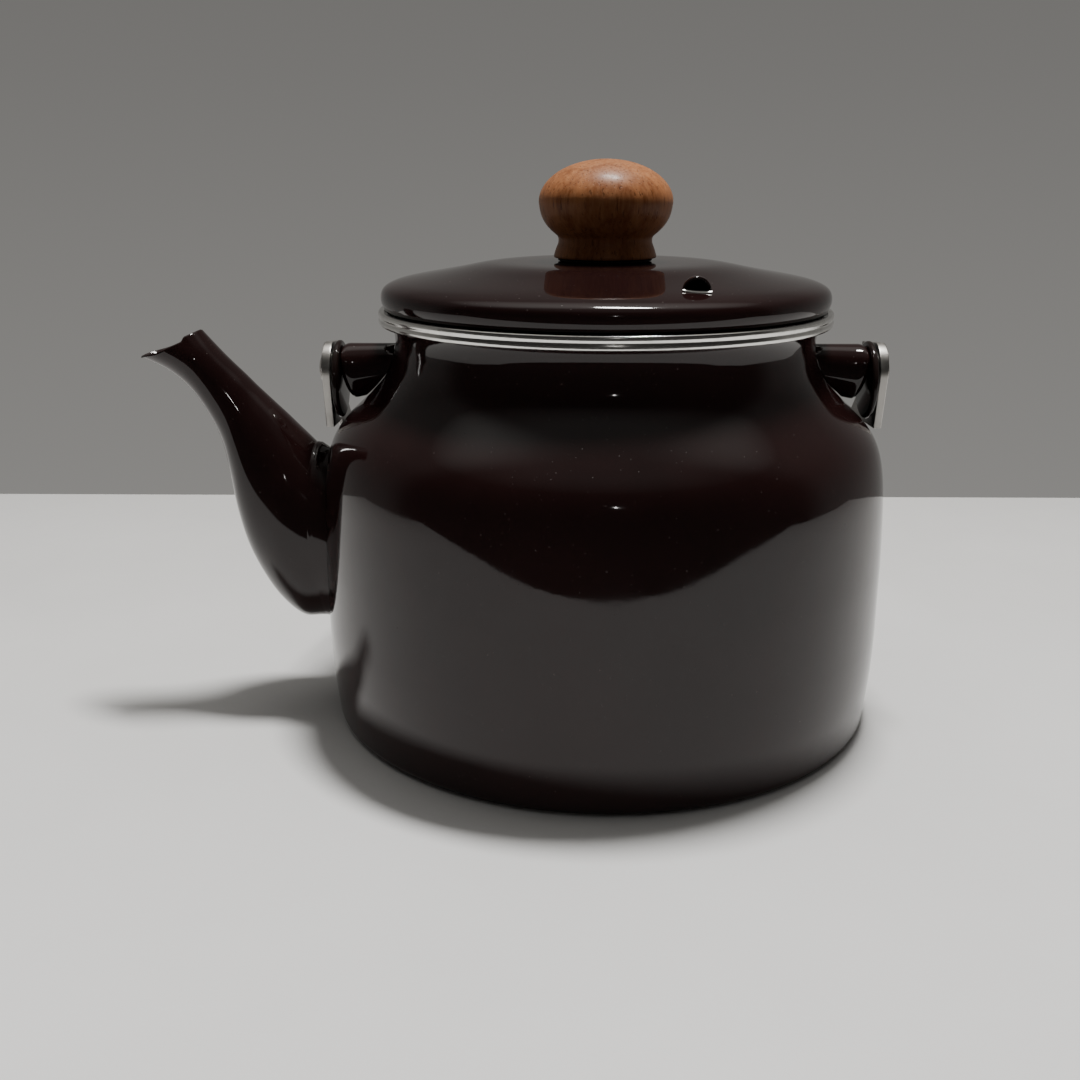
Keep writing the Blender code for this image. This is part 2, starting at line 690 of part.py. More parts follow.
def vent_half_dome(name, half, height, length, matrix):
    """A quarter ellipsoid bulge with a flat mouth at its own y = 0, reaching back along +Y."""
    bm = bmesh.new()
    bmesh.ops.create_uvsphere(bm, u_segments=12, v_segments=8, radius=1.0)
    everything = bm.verts[:] + bm.edges[:] + bm.faces[:]
    halves = bmesh.ops.bisect_plane(bm, geom=everything, dist=0.000001, plane_co=(0, 0, 0),
                                    plane_no=(0, -1, 0), clear_outer=True)
    rim = [e for e in halves["geom_cut"] if isinstance(e, bmesh.types.BMEdge)]
    bmesh.ops.holes_fill(bm, edges=rim, sides=0)
    size = Matrix.Diagonal((half, length, height, 1.0))
    bmesh.ops.transform(bm, matrix=matrix @ size, verts=bm.verts)
    bmesh.ops.recalc_face_normals(bm, faces=bm.faces)
    mesh = bpy.data.meshes.new(name)
    bm.to_mesh(mesh)
    bm.free()
    return add(name, mesh)


def vent_frame():
    """Stands on the lid's slope at the vent, with +Y pointing away from the opening."""
    a = math.radians(VENT_DEG)
    z = LID_TOP - 4.75 * MM
    place = Matrix.Translation((VENT_R * math.cos(a), VENT_R * math.sin(a), z))
    tilt = Matrix.Rotation(math.radians(VENT_SLOPE_DEG), 4, Vector((-math.sin(a), math.cos(a), 0)))
    return place @ tilt @ Matrix.Rotation(math.radians(VENT_FACING_DEG + 90), 4, "Z")


def make_lid():
    outer = lid_outer(12)
    inner = offset(outer, LID_WALL)
    profile = [Vector((0, LID_TOP - LID_WALL))] + inner + outer[::-1] + [Vector((0, LID_TOP))]
    lid = turned("lid_shell", profile[::-1], "enamel")
    frame = vent_frame()
    hood = vent_half_dome("vent_hood", VENT_HALF + VENT_SHEET, VENT_HEIGHT + VENT_SHEET,
                          VENT_LENGTH + VENT_SHEET, frame @ Matrix.Translation((0, 0.2 * MM, 0)))
    cavity = vent_half_dome("vent_cavity", VENT_HALF, VENT_HEIGHT, VENT_LENGTH, frame)
    bore = cylinder("lid_bore", SCREW_R + GAP, 6 * MM, (0, 0, LID_TOP), (0, 0, 1))
    cut(lid, hood, "UNION")
    cut(lid, cavity)
    cut(lid, bore)


def make_flange():
    """The skirt under the lid that keeps it in the vessel's neck."""
    inside_r = FLANGE_R - FLANGE_WALL
    profile = [(inside_r, FLANGE_HIGH),
               (FLANGE_R, FLANGE_HIGH),
               (FLANGE_R, FLANGE_LOW + 1.0 * MM),
               (FLANGE_R - 0.4 * MM, FLANGE_LOW),
               (inside_r, FLANGE_LOW)]
    turned("lid_flange", profile, "enamel", closed=True)


def knob_profile():
    bun = []
    for i in range(9):
        a = math.radians(90 - 90 * i / 8)
        bun.append((KNOB_R * math.cos(a), KNOB_MID + (KNOB_TOP - KNOB_MID) * math.sin(a)))
    low = spline([(KNOB_R, KNOB_MID),
                  (KNOB_R - 0.8 * MM, KNOB_MID - 4.0 * MM),
                  (KNOB_R - 3.2 * MM, KNOB_MID - 8.0 * MM),
                  (KNOB_WAIST_R + 0.6 * MM, KNOB_WAIST_Z + 0.5 * MM)], 6)[1:]
    foot = [(KNOB_WAIST_R, KNOB_WAIST_Z),
            (KNOB_WAIST_R + 0.7 * MM, KNOB_WAIST_Z - 3.0 * MM),
            (KNOB_BASE_R, KNOB_BASE_Z + 1.0 * MM),
            (KNOB_BASE_R - 0.5 * MM, KNOB_BASE_Z)]
    return bun + [(p.x, p.y) for p in low] + foot


def flat_ring(name, inner_r, outer_r, low, high, kind):
    profile = [(inner_r, high), (outer_r, high), (outer_r, low), (inner_r, low)]
    turned(name, profile, kind, STEPS_SMALL, closed=True)


def make_knob():
    """The knob on its rubber seat, held by a screw and a washer from under the lid."""
    bore_r = SCREW_R + GAP
    bore = [(bore_r, KNOB_BASE_Z), (bore_r, SCREW_TOP + GAP), (0, SCREW_TOP + GAP)]
    turned("knob", knob_profile() + bore, "wood", 36)
    flat_ring("knob_seat", bore_r, SEAT_R, LID_TOP + GAP, KNOB_BASE_Z - GAP, "rubber")
    under = LID_TOP - LID_WALL - GAP
    washer_low = under - 0.7 * MM
    flat_ring("knob_screw_washer", bore_r, 6 * MM, washer_low, under, "steel")
    head = washer_low - GAP
    screw = [(0, SCREW_TOP),
             (SCREW_R, SCREW_TOP - 1 * MM),
             (SCREW_R, head),
             (4 * MM, head),
             (3.4 * MM, head - 1.6 * MM),
             (2.0 * MM, head - 2.3 * MM),
             (0, head - 2.4 * MM)]
    turned("knob_screw", screw, "steel", STEPS_SMALL)


SIDES = (("left", -1), ("right", 1))

clear_scene()
PARTS = new_collection("enamel_kettle")
CUTTERS = new_collection("cutters")

make_body()
make_rim_band()
ENVELOPE = body_envelope()
make_spout(ENVELOPE)
make_collar(ENVELOPE)
for SIDE, SIGN in SIDES:
    make_ear(SIDE, SIGN, ENVELOPE)
    make_pivot(SIDE, SIGN)
make_bail()
make_lid()
make_flange()
make_knob()
bpy.context.view_layer.update()
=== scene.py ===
"""Looks of the enamelled gooseneck kettle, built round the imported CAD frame."""

import math

import bmesh
import bpy
import numpy as np
from mathutils import Matrix, Vector


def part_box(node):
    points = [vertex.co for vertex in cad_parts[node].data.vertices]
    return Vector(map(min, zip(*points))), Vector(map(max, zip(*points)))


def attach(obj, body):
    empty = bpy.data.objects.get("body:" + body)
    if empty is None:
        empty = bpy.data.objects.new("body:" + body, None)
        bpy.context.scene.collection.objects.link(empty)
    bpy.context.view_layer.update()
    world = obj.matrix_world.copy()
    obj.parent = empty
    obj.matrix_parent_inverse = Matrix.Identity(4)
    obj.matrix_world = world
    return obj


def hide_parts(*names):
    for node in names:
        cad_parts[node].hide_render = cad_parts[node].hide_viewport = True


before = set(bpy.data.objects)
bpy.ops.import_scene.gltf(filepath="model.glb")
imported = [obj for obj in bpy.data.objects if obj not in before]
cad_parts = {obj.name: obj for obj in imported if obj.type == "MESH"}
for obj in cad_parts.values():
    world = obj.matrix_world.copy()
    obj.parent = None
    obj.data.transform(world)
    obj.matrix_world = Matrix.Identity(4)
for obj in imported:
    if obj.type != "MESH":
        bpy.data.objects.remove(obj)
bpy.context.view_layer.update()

MM = 0.001
GAP = 0.3 * MM

# ---------------------------------------------------------------- dimensions

BODY_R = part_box("body_shell")[1].x
WALL = 1.2 * MM
BASE_CORNER = 3.5 * MM
HEEL_R = BODY_R - 2.0 * MM
BASE_R = HEEL_R - BASE_CORNER
NECK_R = 69.5 * MM
LIP_R = NECK_R + 3.7 * MM
LIP_Z = 134.9 * MM
LIP_POINTS = 16                     # points of the rolled lip in the vessel's profile
NECK_Z = LIP_Z - 8.9 * MM
SHOULDER_Z = NECK_Z - 38.0 * MM

BAND_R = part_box("rim_band")[1].x
BAND_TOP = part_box("rim_band")[1].z
BAND_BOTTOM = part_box("rim_band")[0].z
BAND_WALL = 0.9 * MM

SPOUT_WALL = 1.3 * MM
SPOUT_TIP_OUT = -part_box("spout")[0].x - BODY_R
SPOUT_BACK_OUT = 40.3 * MM
SPOUT_TIP_Z = LIP_Z - 13.6 * MM
SPOUT_BACK_Z = LIP_Z - 4.5 * MM
SPOUT_ROOT_LOW = 29.4 * MM
SPOUT_ROOT_HIGH = NECK_Z - 36.5 * MM
SPOUT_ROOT_HALF = 19.5 * MM
SPOUT_MOUTH_HALF = 8.6 * MM
COLLAR_FLARE = 2.4 * MM
COLLAR_BEAD = 0.9 * MM              # how far the bead stands out round the sides and below
MOUTH_DIP = 1.1 * MM                # how far the mouth's sides lie below its two ends
MOUTH_NARROWING = 0.28              # share by which the pouring lip is narrower than the mouth
PORT_R = 14.0 * MM

PIVOT_Z = NECK_Z - 8.7 * MM
EAR_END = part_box("ear_right")[1].x
EAR_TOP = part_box("ear_right")[1].z
EAR_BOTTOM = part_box("ear_right")[0].z
EAR_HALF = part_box("ear_right")[1].y
EAR_WALL = 1.3 * MM
DISC_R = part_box("ear_disc_right")[1].y
DISC_Z = PIVOT_Z - 3.5 * MM
DISC_IN, DISC_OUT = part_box("ear_disc_right")[0].x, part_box("ear_disc_right")[1].x
WASHER_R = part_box("pivot_washer_right")[1].y
WASHER_IN, WASHER_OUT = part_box("pivot_washer_right")[0].x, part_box("pivot_washer_right")[1].x
RIVET_R = 2.5 * MM
RIVET_HEAD_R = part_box("pivot_rivet_right")[1].y
RIVET_IN, RIVET_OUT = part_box("pivot_rivet_right")[0].x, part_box("pivot_rivet_right")[1].x

PLATE_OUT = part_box("bail_arm_right")[1].x
PLATE_THICK = 2.9 * MM
PLATE_TIP_R = 9.0 * MM
PLATE_CORNER = (17.6 * MM, 9.0 * MM)
PLATE_TAPER = 0.82                  # how fast the plate narrows to the strap past its corner
ARM_HALF = 5.9 * MM
ARM_THICK = 1.9 * MM
ARM_BEND_R = 45.0 * MM
TANG_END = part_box("bail_arm_right")[0].x
GRIP_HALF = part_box("bail_grip")[1].x
GRIP_R = 12.3 * MM
GRIP_BELLY_R = GRIP_R - 0.2 * MM     # kept inside the CAD grip, whose many sides are flat
GRIP_END_R = GRIP_R - 2.1 * MM
GRIP_DROP = 97.0 * MM
GRIP_REACH = BODY_R + GRIP_R + 1.5 * GAP
BAIL_R = math.hypot(GRIP_REACH, GRIP_DROP)
FOLD = math.atan2(GRIP_DROP, GRIP_REACH)
FERRULE_LEN = 6.5 * MM
FERRULE_WALL = 0.9 * MM
PIN_X = 34.5 * MM
PIN_R = 1.5 * MM

LID_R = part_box("lid_shell")[1].x
LID_TOP = LIP_Z + 18.0 * MM
LID_LIP_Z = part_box("lid_shell")[0].z
LID_WALL = 1.1 * MM
FLANGE_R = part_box("lid_flange")[1].x
FLANGE_LOW, FLANGE_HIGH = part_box("lid_flange")[0].z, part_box("lid_flange")[1].z
FLANGE_WALL = 0.9 * MM
VENT_R = LID_R - 11.7 * MM
VENT_DEG = -67.0
VENT_FACING_DEG = -88.0
VENT_SLOPE_DEG = 10.5
VENT_HALF = 3.3 * MM
VENT_HEIGHT = 3.6 * MM
VENT_SHEET = 0.9 * MM
VENT_LENGTH = 5.5 * MM

KNOB_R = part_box("knob")[1].x
KNOB_BASE_Z, KNOB_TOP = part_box("knob")[0].z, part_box("knob")[1].z
KNOB_BASE_R = 16.8 * MM
KNOB_WAIST_R = 15.2 * MM
KNOB_WAIST_Z = KNOB_BASE_Z + 6.6 * MM
KNOB_MID = KNOB_BASE_Z + 17.6 * MM
SCREW_R = 2.0 * MM
SCREW_TOP = KNOB_MID - 2.6 * MM

AROUND = 192                        # segments round the large turned pieces
WALL_POINTS = 110                   # points of the vessel's side in its outer profile
SHARP_DEG = 35.0                    # edges sharper than this stay crisp
SIDES = (("left", -1), ("right", 1))


# ---------------------------------------------------------------- curves and meshes

def smooth_curve(points, count):
    """Even samples of a curve with continuous curvature through the given points."""
    p = np.array([tuple(q) for q in points], float)
    steps = np.linalg.norm(np.diff(p, axis=0), axis=1)
    s = np.concatenate([[0.0], np.cumsum(steps)])
    n = len(p)
    a = np.zeros((n, n))
    b = np.zeros_like(p)
    a[0, 0] = a[-1, -1] = 1.0
    for i in range(1, n - 1):
        a[i, i - 1:i + 2] = steps[i - 1], 2 * (steps[i - 1] + steps[i]), steps[i]
        b[i] = 6 * ((p[i + 1] - p[i]) / steps[i] - (p[i] - p[i - 1]) / steps[i - 1])
    bend = np.linalg.solve(a, b)
    out = []
    for x in np.linspace(0.0, s[-1], count):
        k = min(int(np.searchsorted(s, x, side="right")) - 1, n - 2)
        h = steps[k]
        u, v = (s[k + 1] - x) / h, (x - s[k]) / h
        q = u * p[k] + v * p[k + 1] + ((u ** 3 - u) * bend[k] + (v ** 3 - v) * bend[k + 1]) * h * h / 6
        out.append(Vector(q))
    return out


def arc(centre, radius, start_deg, end_deg, count):
    angles = np.radians(np.linspace(start_deg, end_deg, count))
    return [Vector((centre[0] + radius * math.cos(t), centre[1] + radius * math.sin(t))) for t in angles]


def offset(points, distance):
    """A copy of a profile moved sideways, to the right of its direction of travel."""
    out = []
    last = len(points) - 1
    for i, p in enumerate(points):
        d = (points[min(i + 1, last)] - points[max(i - 1, 0)]).normalized()
        out.append(p + Vector((d.y, -d.x)) * distance)
    return out


def fillet(points, radius, count=5, closed=False):
    """Rounds the corners of a polyline; its two ends stay sharp unless it is closed."""
    pts = [Vector(p) for p in points]
    out = []
    for i, p in enumerate(pts):
        if not closed and i in (0, len(pts) - 1):
            out.append(p)
            continue
        a = pts[i - 1] - p
        b = pts[(i + 1) % len(pts)] - p
        pa = p + a * min(radius / a.length, 0.49)
        pb = p + b * min(radius / b.length, 0.49)
        for k in range(count):
            t = k / (count - 1)
            out.append(pa * (1 - t) ** 2 + p * 2 * t * (1 - t) + pb * t * t)
    return out


def finish_mesh(name, verts, faces, sharp=SHARP_DEG):
    mesh = bpy.data.meshes.new(name)
    mesh.from_pydata([tuple(v) for v in verts], [], faces)
    bm = bmesh.new()
    bm.from_mesh(mesh)
    bmesh.ops.remove_doubles(bm, verts=bm.verts, dist=0.002 * MM)
    bmesh.ops.recalc_face_normals(bm, faces=bm.faces)
    bm.to_mesh(mesh)
    bm.free()
    mesh.shade_smooth()
    mesh.set_sharp_from_angle(angle=math.radians(sharp))
    obj = bpy.data.objects.new(name, mesh)
    bpy.context.scene.collection.objects.link(obj)
    return obj


def lathe(name, profile, around=AROUND, closed=False, matrix=None, sharp=SHARP_DEG):
    """A solid of revolution about Z from (radius, height) points, then placed by the matrix."""
    verts = []
    for r, z in profile:
        for j in range(around):
            a = 2 * math.pi * j / around
            verts.append(Vector((max(r, 0.0) * math.cos(a), max(r, 0.0) * math.sin(a), z)))
    rows = len(profile)
    faces = []
    for i in range(rows if closed else rows - 1):
        k = (i + 1) % rows
        for j in range(around):
            n = (j + 1) % around
            faces.append((i * around + j, i * around + n, k * around + n, k * around + j))
    if matrix is not None:
        verts = [matrix @ v for v in verts]
    return finish_mesh(name, verts, faces, sharp)


def along_x(sign, x, z):
    """Turns a lathe's axis to point outwards along X, with its zero at the given place."""
    return Matrix.Translation((x, 0, z)) @ Matrix.Rotation(sign * math.pi / 2, 4, "Y")


def loft(name, rings, closed_ends=False, loop=False, sharp=SHARP_DEG):
    """A skin over a stack of equal rings; loop joins the last ring to the first."""
    size = len(rings[0])
    verts = [p for ring in rings for p in ring]
    faces = []
    for i in range(len(rings) if loop else len(rings) - 1):
        k = (i + 1) % len(rings)
        for j in range(size):
            n = (j + 1) % size
            faces.append((i * size + j, i * size + n, k * size + n, k * size + j))
    if closed_ends:
        faces.append(tuple(range(size)))
        faces.append(tuple(range((len(rings) - 1) * size, len(rings) * size)))
    return finish_mesh(name, verts, faces, sharp)


def apply_boolean(obj, cutter, operation="DIFFERENCE"):
    mod = obj.modifiers.new("cut", "BOOLEAN")
    mod.operation = operation
    mod.solver = "EXACT"
    mod.object = cutter
    bake_modifiers(obj)


def bake_modifiers(obj):
    bpy.context.view_layer.update()
    deps = bpy.context.evaluated_depsgraph_get()
    mesh = bpy.data.meshes.new_from_object(obj.evaluated_get(deps))
    obj.modifiers.clear()
    old = obj.data
    obj.data = mesh
    bpy.data.meshes.remove(old)
    mesh.shade_smooth()
    mesh.set_sharp_from_angle(angle=math.radians(SHARP_DEG))


def discard(*objs):
    for obj in objs:
        bpy.data.objects.remove(obj, do_unlink=True)


def rod(name, radius, start, end, around=32):
    """A plain cylinder between two points, used to bore holes."""
    start, end = Vector(start), Vector(end)
    turn = Vector((0, 0, 1)).rotation_difference(end - start).to_matrix().to_4x4()
    length = (end - start).length
    profile = [(0, length), (radius, length), (radius, 0), (0, 0)]
    return lathe(name, profile, around, matrix=Matrix.Translation(start) @ turn)


def slab(name, outline, thickness, matrix, sharp=SHARP_DEG):
    """A flat outline given a thickness about its own plane."""
    n = len(outline)
    low = [matrix @ Vector((p[0], p[1], -thickness / 2)) for p in outline]
    high = [matrix @ Vector((p[0], p[1], thickness / 2)) for p in outline]
    faces = [(i, (i + 1) % n, n + (i + 1) % n, n + i) for i in range(n)]
    faces += [tuple(range(n)), tuple(range(n, 2 * n))]
    return finish_mesh(name, low + high, faces, sharp)


# ---------------------------------------------------------------- material nodes

RANGE_KEYS = ("From Min", "From Max", "To Min", "To Max")


class Shader:
    """Short calls for the node trees of this scene."""

    def __init__(self, name):
        self.material = bpy.data.materials.new(name)
        self.material.use_nodes = True
        self.tree = self.material.node_tree
        self.bsdf = self.tree.nodes["Principled BSDF"]
        self.position = self.add("ShaderNodeTexCoord").outputs["Object"]

    def add(self, kind, **values):
        node = self.tree.nodes.new(kind)
        for key, value in values.items():
            setattr(node, key, value)
        return node

    def link(self, source, target):
        self.tree.links.new(source, target)

    def fixed(self, **values):
        for key, value in values.items():
            self.bsdf.inputs[key.replace("_", " ")].default_value = value

    def stretched(self, scale):
        node = self.add("ShaderNodeMapping")
        node.inputs["Scale"].default_value = scale
        self.link(self.position, node.inputs["Vector"])
        return node.outputs["Vector"]

    def noise(self, scale, detail=3.0, rough=0.5, vector=None, distortion=0.0):
        node = self.add("ShaderNodeTexNoise")
        node.inputs["Scale"].default_value = scale
        node.inputs["Detail"].default_value = detail
        node.inputs["Roughness"].default_value = rough
        node.inputs["Distortion"].default_value = distortion
        self.link(vector or self.position, node.inputs["Vector"])
        return node.outputs["Fac"]

    def across(self, vector):
        node = self.add("ShaderNodeSeparateXYZ")
        self.link(vector, node.inputs[0])
        return node.outputs["X"]

    def outward(self):
        """Above 0 on faces that look away from the plane midway between left and right, else 0 or less."""
        coords = self.add("ShaderNodeTexCoord")
        return self.maths("MULTIPLY", self.across(coords.outputs["Normal"]), self.across(self.position))

    def band(self, value, low, high, out_low=0.0, out_high=1.0):
        node = self.add("ShaderNodeMapRange")
        node.clamp = True
        for key, number in zip(RANGE_KEYS, (low, high, out_low, out_high)):
            node.inputs[key].default_value = number
        self.link(value, node.inputs["Value"])
        return node.outputs["Result"]

    def maths(self, operation, a, b):
        node = self.add("ShaderNodeMath", operation=operation)
        for socket, value in zip(node.inputs, (a, b)):
            if isinstance(value, (int, float)):
                socket.default_value = value
            else:
                self.link(value, socket)
        return node.outputs[0]

    def mix(self, factor, a, b):
        node = self.add("ShaderNodeMix", data_type="RGBA")
        self.link(factor, node.inputs["Factor"])
        for socket, value in ((node.inputs[6], a), (node.inputs[7], b)):
            if isinstance(value, tuple):
                socket.default_value = (*value, 1.0)
            else:
                self.link(value, socket)
        return node.outputs[2]

    def bump(self, height, distance, strength=1.0, after=None):
        node = self.add("ShaderNodeBump")
        node.inputs["Strength"].default_value = strength
        node.inputs["Distance"].default_value = distance
        self.link(height, node.inputs["Height"])
        if after is not None:
            self.link(after, node.inputs["Normal"])
        return node.outputs["Normal"]

    def connect(self, **sockets):
        for key, value in sockets.items():
            self.link(value, self.bsdf.inputs[key.replace("_", " ")])


def enamel_material(name, colour=(0.0170, 0.0066, 0.0064), deep=(0.0105, 0.0042, 0.0041), shine=0.38):
    """Glossy vitreous enamel: faint orange peel, cloudy colour, wiped smears and dust."""
    s = Shader(name)
    s.fixed(IOR=1.5, Specular_IOR_Level=shine)
    cloud = s.band(s.noise(14.0, 4.0, 0.6), 0.35, 0.68)
    dust = s.band(s.noise(1500.0, 1.0, 0.4), 0.77, 0.81)
    smear = s.band(s.noise(26.0, 5.0, 0.65, s.stretched((1.0, 1.0, 0.35)), 0.8), 0.42, 0.72)
    base = s.mix(cloud, colour, deep)
    s.connect(Base_Color=s.mix(s.maths("MULTIPLY", dust, 0.35), base, (0.20, 0.17, 0.16)))
    rough = s.maths("ADD", s.maths("MULTIPLY", smear, 0.06), s.maths("MULTIPLY", dust, 0.4))
    s.connect(Roughness=s.maths("ADD", rough, 0.04))
    peel = s.bump(s.noise(120.0, 2.0, 0.5), 0.016 * MM)
    s.connect(Normal=s.bump(s.noise(620.0, 2.0, 0.5), 0.0025 * MM, after=peel))
    return s.material


def steel_material(name, colour=(0.60, 0.58, 0.54), rough=0.20, stretch=(1.0, 1.0, 14.0), scratch=0.5,
                   inside=1.0):
    """Stainless steel with fine drawn lines, handling marks and faint tarnish.

    Faces that look in towards the vessel's middle are darkened to the share of the colour given as inside,
    and the sheet's narrow edges a little less; this darkening is painted shade, and the narrow edges are
    also made rougher.
    """
    s = Shader(name)
    s.fixed(Metallic=1.0)
    lines = s.noise(900.0, 3.0, 0.7, s.stretched(stretch))
    tarnish = s.band(s.noise(95.0, 5.0, 0.65, distortion=0.6), 0.50, 0.74)
    tone = s.mix(s.maths("MULTIPLY", tarnish, 0.55), colour, tuple(0.55 * c for c in colour))
    worn = s.maths("MULTIPLY", s.band(lines, 0.3, 0.7), 0.14 * scratch)
    dull = s.maths("ADD", s.maths("ADD", worn, s.maths("MULTIPLY", tarnish, 0.12)), rough)
    # Painted shade: faces turned towards the vessel and the sheet's narrow edges get a darker colour.
    if inside < 1.0:
        outward = s.outward()
        inward_painted_shade = s.band(outward, -0.02, -0.04)
        edge = s.band(outward, 0.06, 0.03)
        tone = s.mix(edge, tone, tuple(1.25 * inside * c for c in colour))
        tone = s.mix(inward_painted_shade, tone, tuple(inside * c for c in colour))
        dull = s.maths("ADD", dull, s.maths("MULTIPLY", edge, 0.15))
    s.connect(Base_Color=tone, Roughness=dull)
    s.connect(Normal=s.bump(lines, 0.006 * MM * scratch, after=s.bump(s.noise(240.0, 2.0), 0.01 * MM)))
    return s.material


def wood_material(name, axis):
    """Turned brown hardwood, grain along one axis: growth bands, fibres, dark pores, satin varnish."""
    s = Shader(name)
    s.fixed(Coat_Weight=0.05, Coat_Roughness=0.18, Specular_IOR_Level=0.15)
    along = tuple(1.0 if i == axis else 9.0 for i in range(3))
    pores_along = tuple(1.0 if i == axis else 14.0 for i in range(3))
    bands = s.noise(34.0, 3.0, 0.55, s.stretched(tuple(0.25 if i == axis else 2.6 for i in range(3))), 1.6)
    fibres = s.noise(75.0, 5.0, 0.7, s.stretched(along), 0.3)
    pores = s.band(s.noise(95.0, 2.0, 0.5, s.stretched(pores_along)), 0.60, 0.68)
    tone = s.mix(s.band(bands, 0.34, 0.66), (0.405, 0.158, 0.062), (0.225, 0.075, 0.027))
    tone = s.mix(s.band(fibres, 0.38, 0.72, 0.0, 0.65), tone, (0.520, 0.240, 0.108))
    tone = s.mix(s.maths("MULTIPLY", pores, 0.5), tone, (0.075, 0.026, 0.010))
    s.connect(Base_Color=tone)
    s.connect(Roughness=s.band(fibres, 0.3, 0.75, 0.34, 0.50))
    pits = s.bump(s.band(pores, 0.0, 1.0, 1.0, 0.0), 0.05 * MM)
    s.connect(Normal=s.bump(fibres, 0.03 * MM, after=pits))
    return s.material


def rubber_material(name):
    s = Shader(name)
    grain = s.noise(1500.0, 3.0, 0.6)
    s.connect(Base_Color=s.mix(s.band(grain, 0.3, 0.7), (0.012, 0.011, 0.010), (0.028, 0.026, 0.024)))
    s.connect(Roughness=s.band(grain, 0.3, 0.7, 0.6, 0.85), Normal=s.bump(grain, 0.02 * MM))
    return s.material


def place(obj, material, body, slot, *nodes):
    """Gives a finished piece its material and its body, and hides the CAD nodes that it stands for."""
    obj.data.materials.clear()
    obj.data.materials.append(material)
    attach(obj, body)
    if nodes:
        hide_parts(*nodes)
    return obj


# ---------------------------------------------------------------- vessel

def body_outer(count):
    """Outer side of the vessel from the lip's edge down to the base corner."""
    lip = smooth_curve([(LIP_R, LIP_Z),
                        (LIP_R - 1.0 * MM, LIP_Z - 0.3 * MM),
                        (NECK_R + 1.4 * MM, LIP_Z - 1.6 * MM),
                        (NECK_R + 0.3 * MM, LIP_Z - 4.0 * MM),
                        (NECK_R - 0.1 * MM, NECK_Z + 1.5 * MM)], LIP_POINTS)
    swell = BODY_R - NECK_R
    fall = NECK_Z - SHOULDER_Z
    shares = ((0.0, 0.0), (0.067, 0.18), (0.263, 0.368), (0.58, 0.574), (0.82, 0.768), (0.93, 1.0))
    shoulder = [(NECK_R + swell * out, NECK_Z - fall * down) for out, down in shares]
    side = [(BODY_R - 0.6 * MM, SHOULDER_Z * 0.864),
            (BODY_R, SHOULDER_Z * 0.636),
            (BODY_R, SHOULDER_Z * 0.375),
            (BODY_R - 0.8 * MM, SHOULDER_Z * 0.17),
            (HEEL_R, BASE_CORNER)]
    wall = [Vector((min(p.x, BODY_R), p.y)) for p in smooth_curve(shoulder + side, count)]
    corner = arc((BASE_R, BASE_CORNER), BASE_CORNER, 0, -90, 10)[1:]
    return lip + wall + corner


def envelope(name, clearance):
    """The vessel's outer shape as a solid, grown by the clearance."""
    outer = offset(body_outer(WALL_POINTS), -clearance)[LIP_POINTS - 2:]
    top = NECK_Z + 6 * MM
    profile = [Vector((0, top)), Vector((outer[0].x, top))] + outer + [Vector((0, outer[-1].y))]
    return lathe(name, profile)


def make_body(enamel):
    outer = body_outer(WALL_POINTS)
    inner = offset(body_outer(80), WALL)
    inner = inner[:-9] + arc((BASE_R, BASE_CORNER), BASE_CORNER - WALL, 0, -90, 6)[1:]
    lip_end = arc((LIP_R, LIP_Z + WALL / 2), WALL / 2, 90, -90, 8)[1:-1]
    profile = [Vector((0, WALL))] + inner[::-1] + lip_end + outer + [Vector((0, 0))]
    body = lathe("vessel", profile)
    middle = (SPOUT_ROOT_LOW + SPOUT_ROOT_HIGH) / 2
    port = rod("port", PORT_R, (-BODY_R - 12 * MM, 0, middle), (-BODY_R + 12 * MM, 0, middle), 48)
    apply_boolean(body, port)
    discard(port)
    place(body, enamel, "kettle", "enamel", "body_shell")


def make_rim_band(steel):
    inside_r = BAND_R - BAND_WALL
    mouth_r = NECK_R + 1.6 * MM
    hem_r = BAND_R - 2.6 * MM
    shape = [(mouth_r, BAND_TOP),
             (BAND_R - 0.25 * MM, BAND_TOP - 0.1 * MM),
             (BAND_R, BAND_TOP - 1.5 * MM),
             (BAND_R - 0.45 * MM, (BAND_TOP + BAND_BOTTOM) / 2),
             (BAND_R, BAND_BOTTOM + 1.4 * MM),
             (BAND_R - 0.3 * MM, BAND_BOTTOM + 0.1 * MM),
             (hem_r, BAND_BOTTOM),
             (hem_r, BAND_BOTTOM + 0.8 * MM),
             (inside_r, BAND_BOTTOM + BAND_WALL),
             (inside_r, BAND_TOP - BAND_WALL),
             (mouth_r, BAND_TOP - BAND_WALL)]
    band = lathe("rim", fillet(shape, 0.9 * MM, 5, closed=True), closed=True, sharp=60.0)
    place(band, steel, "kettle", "bright_steel", "rim_band")


# ---------------------------------------------------------------- spout

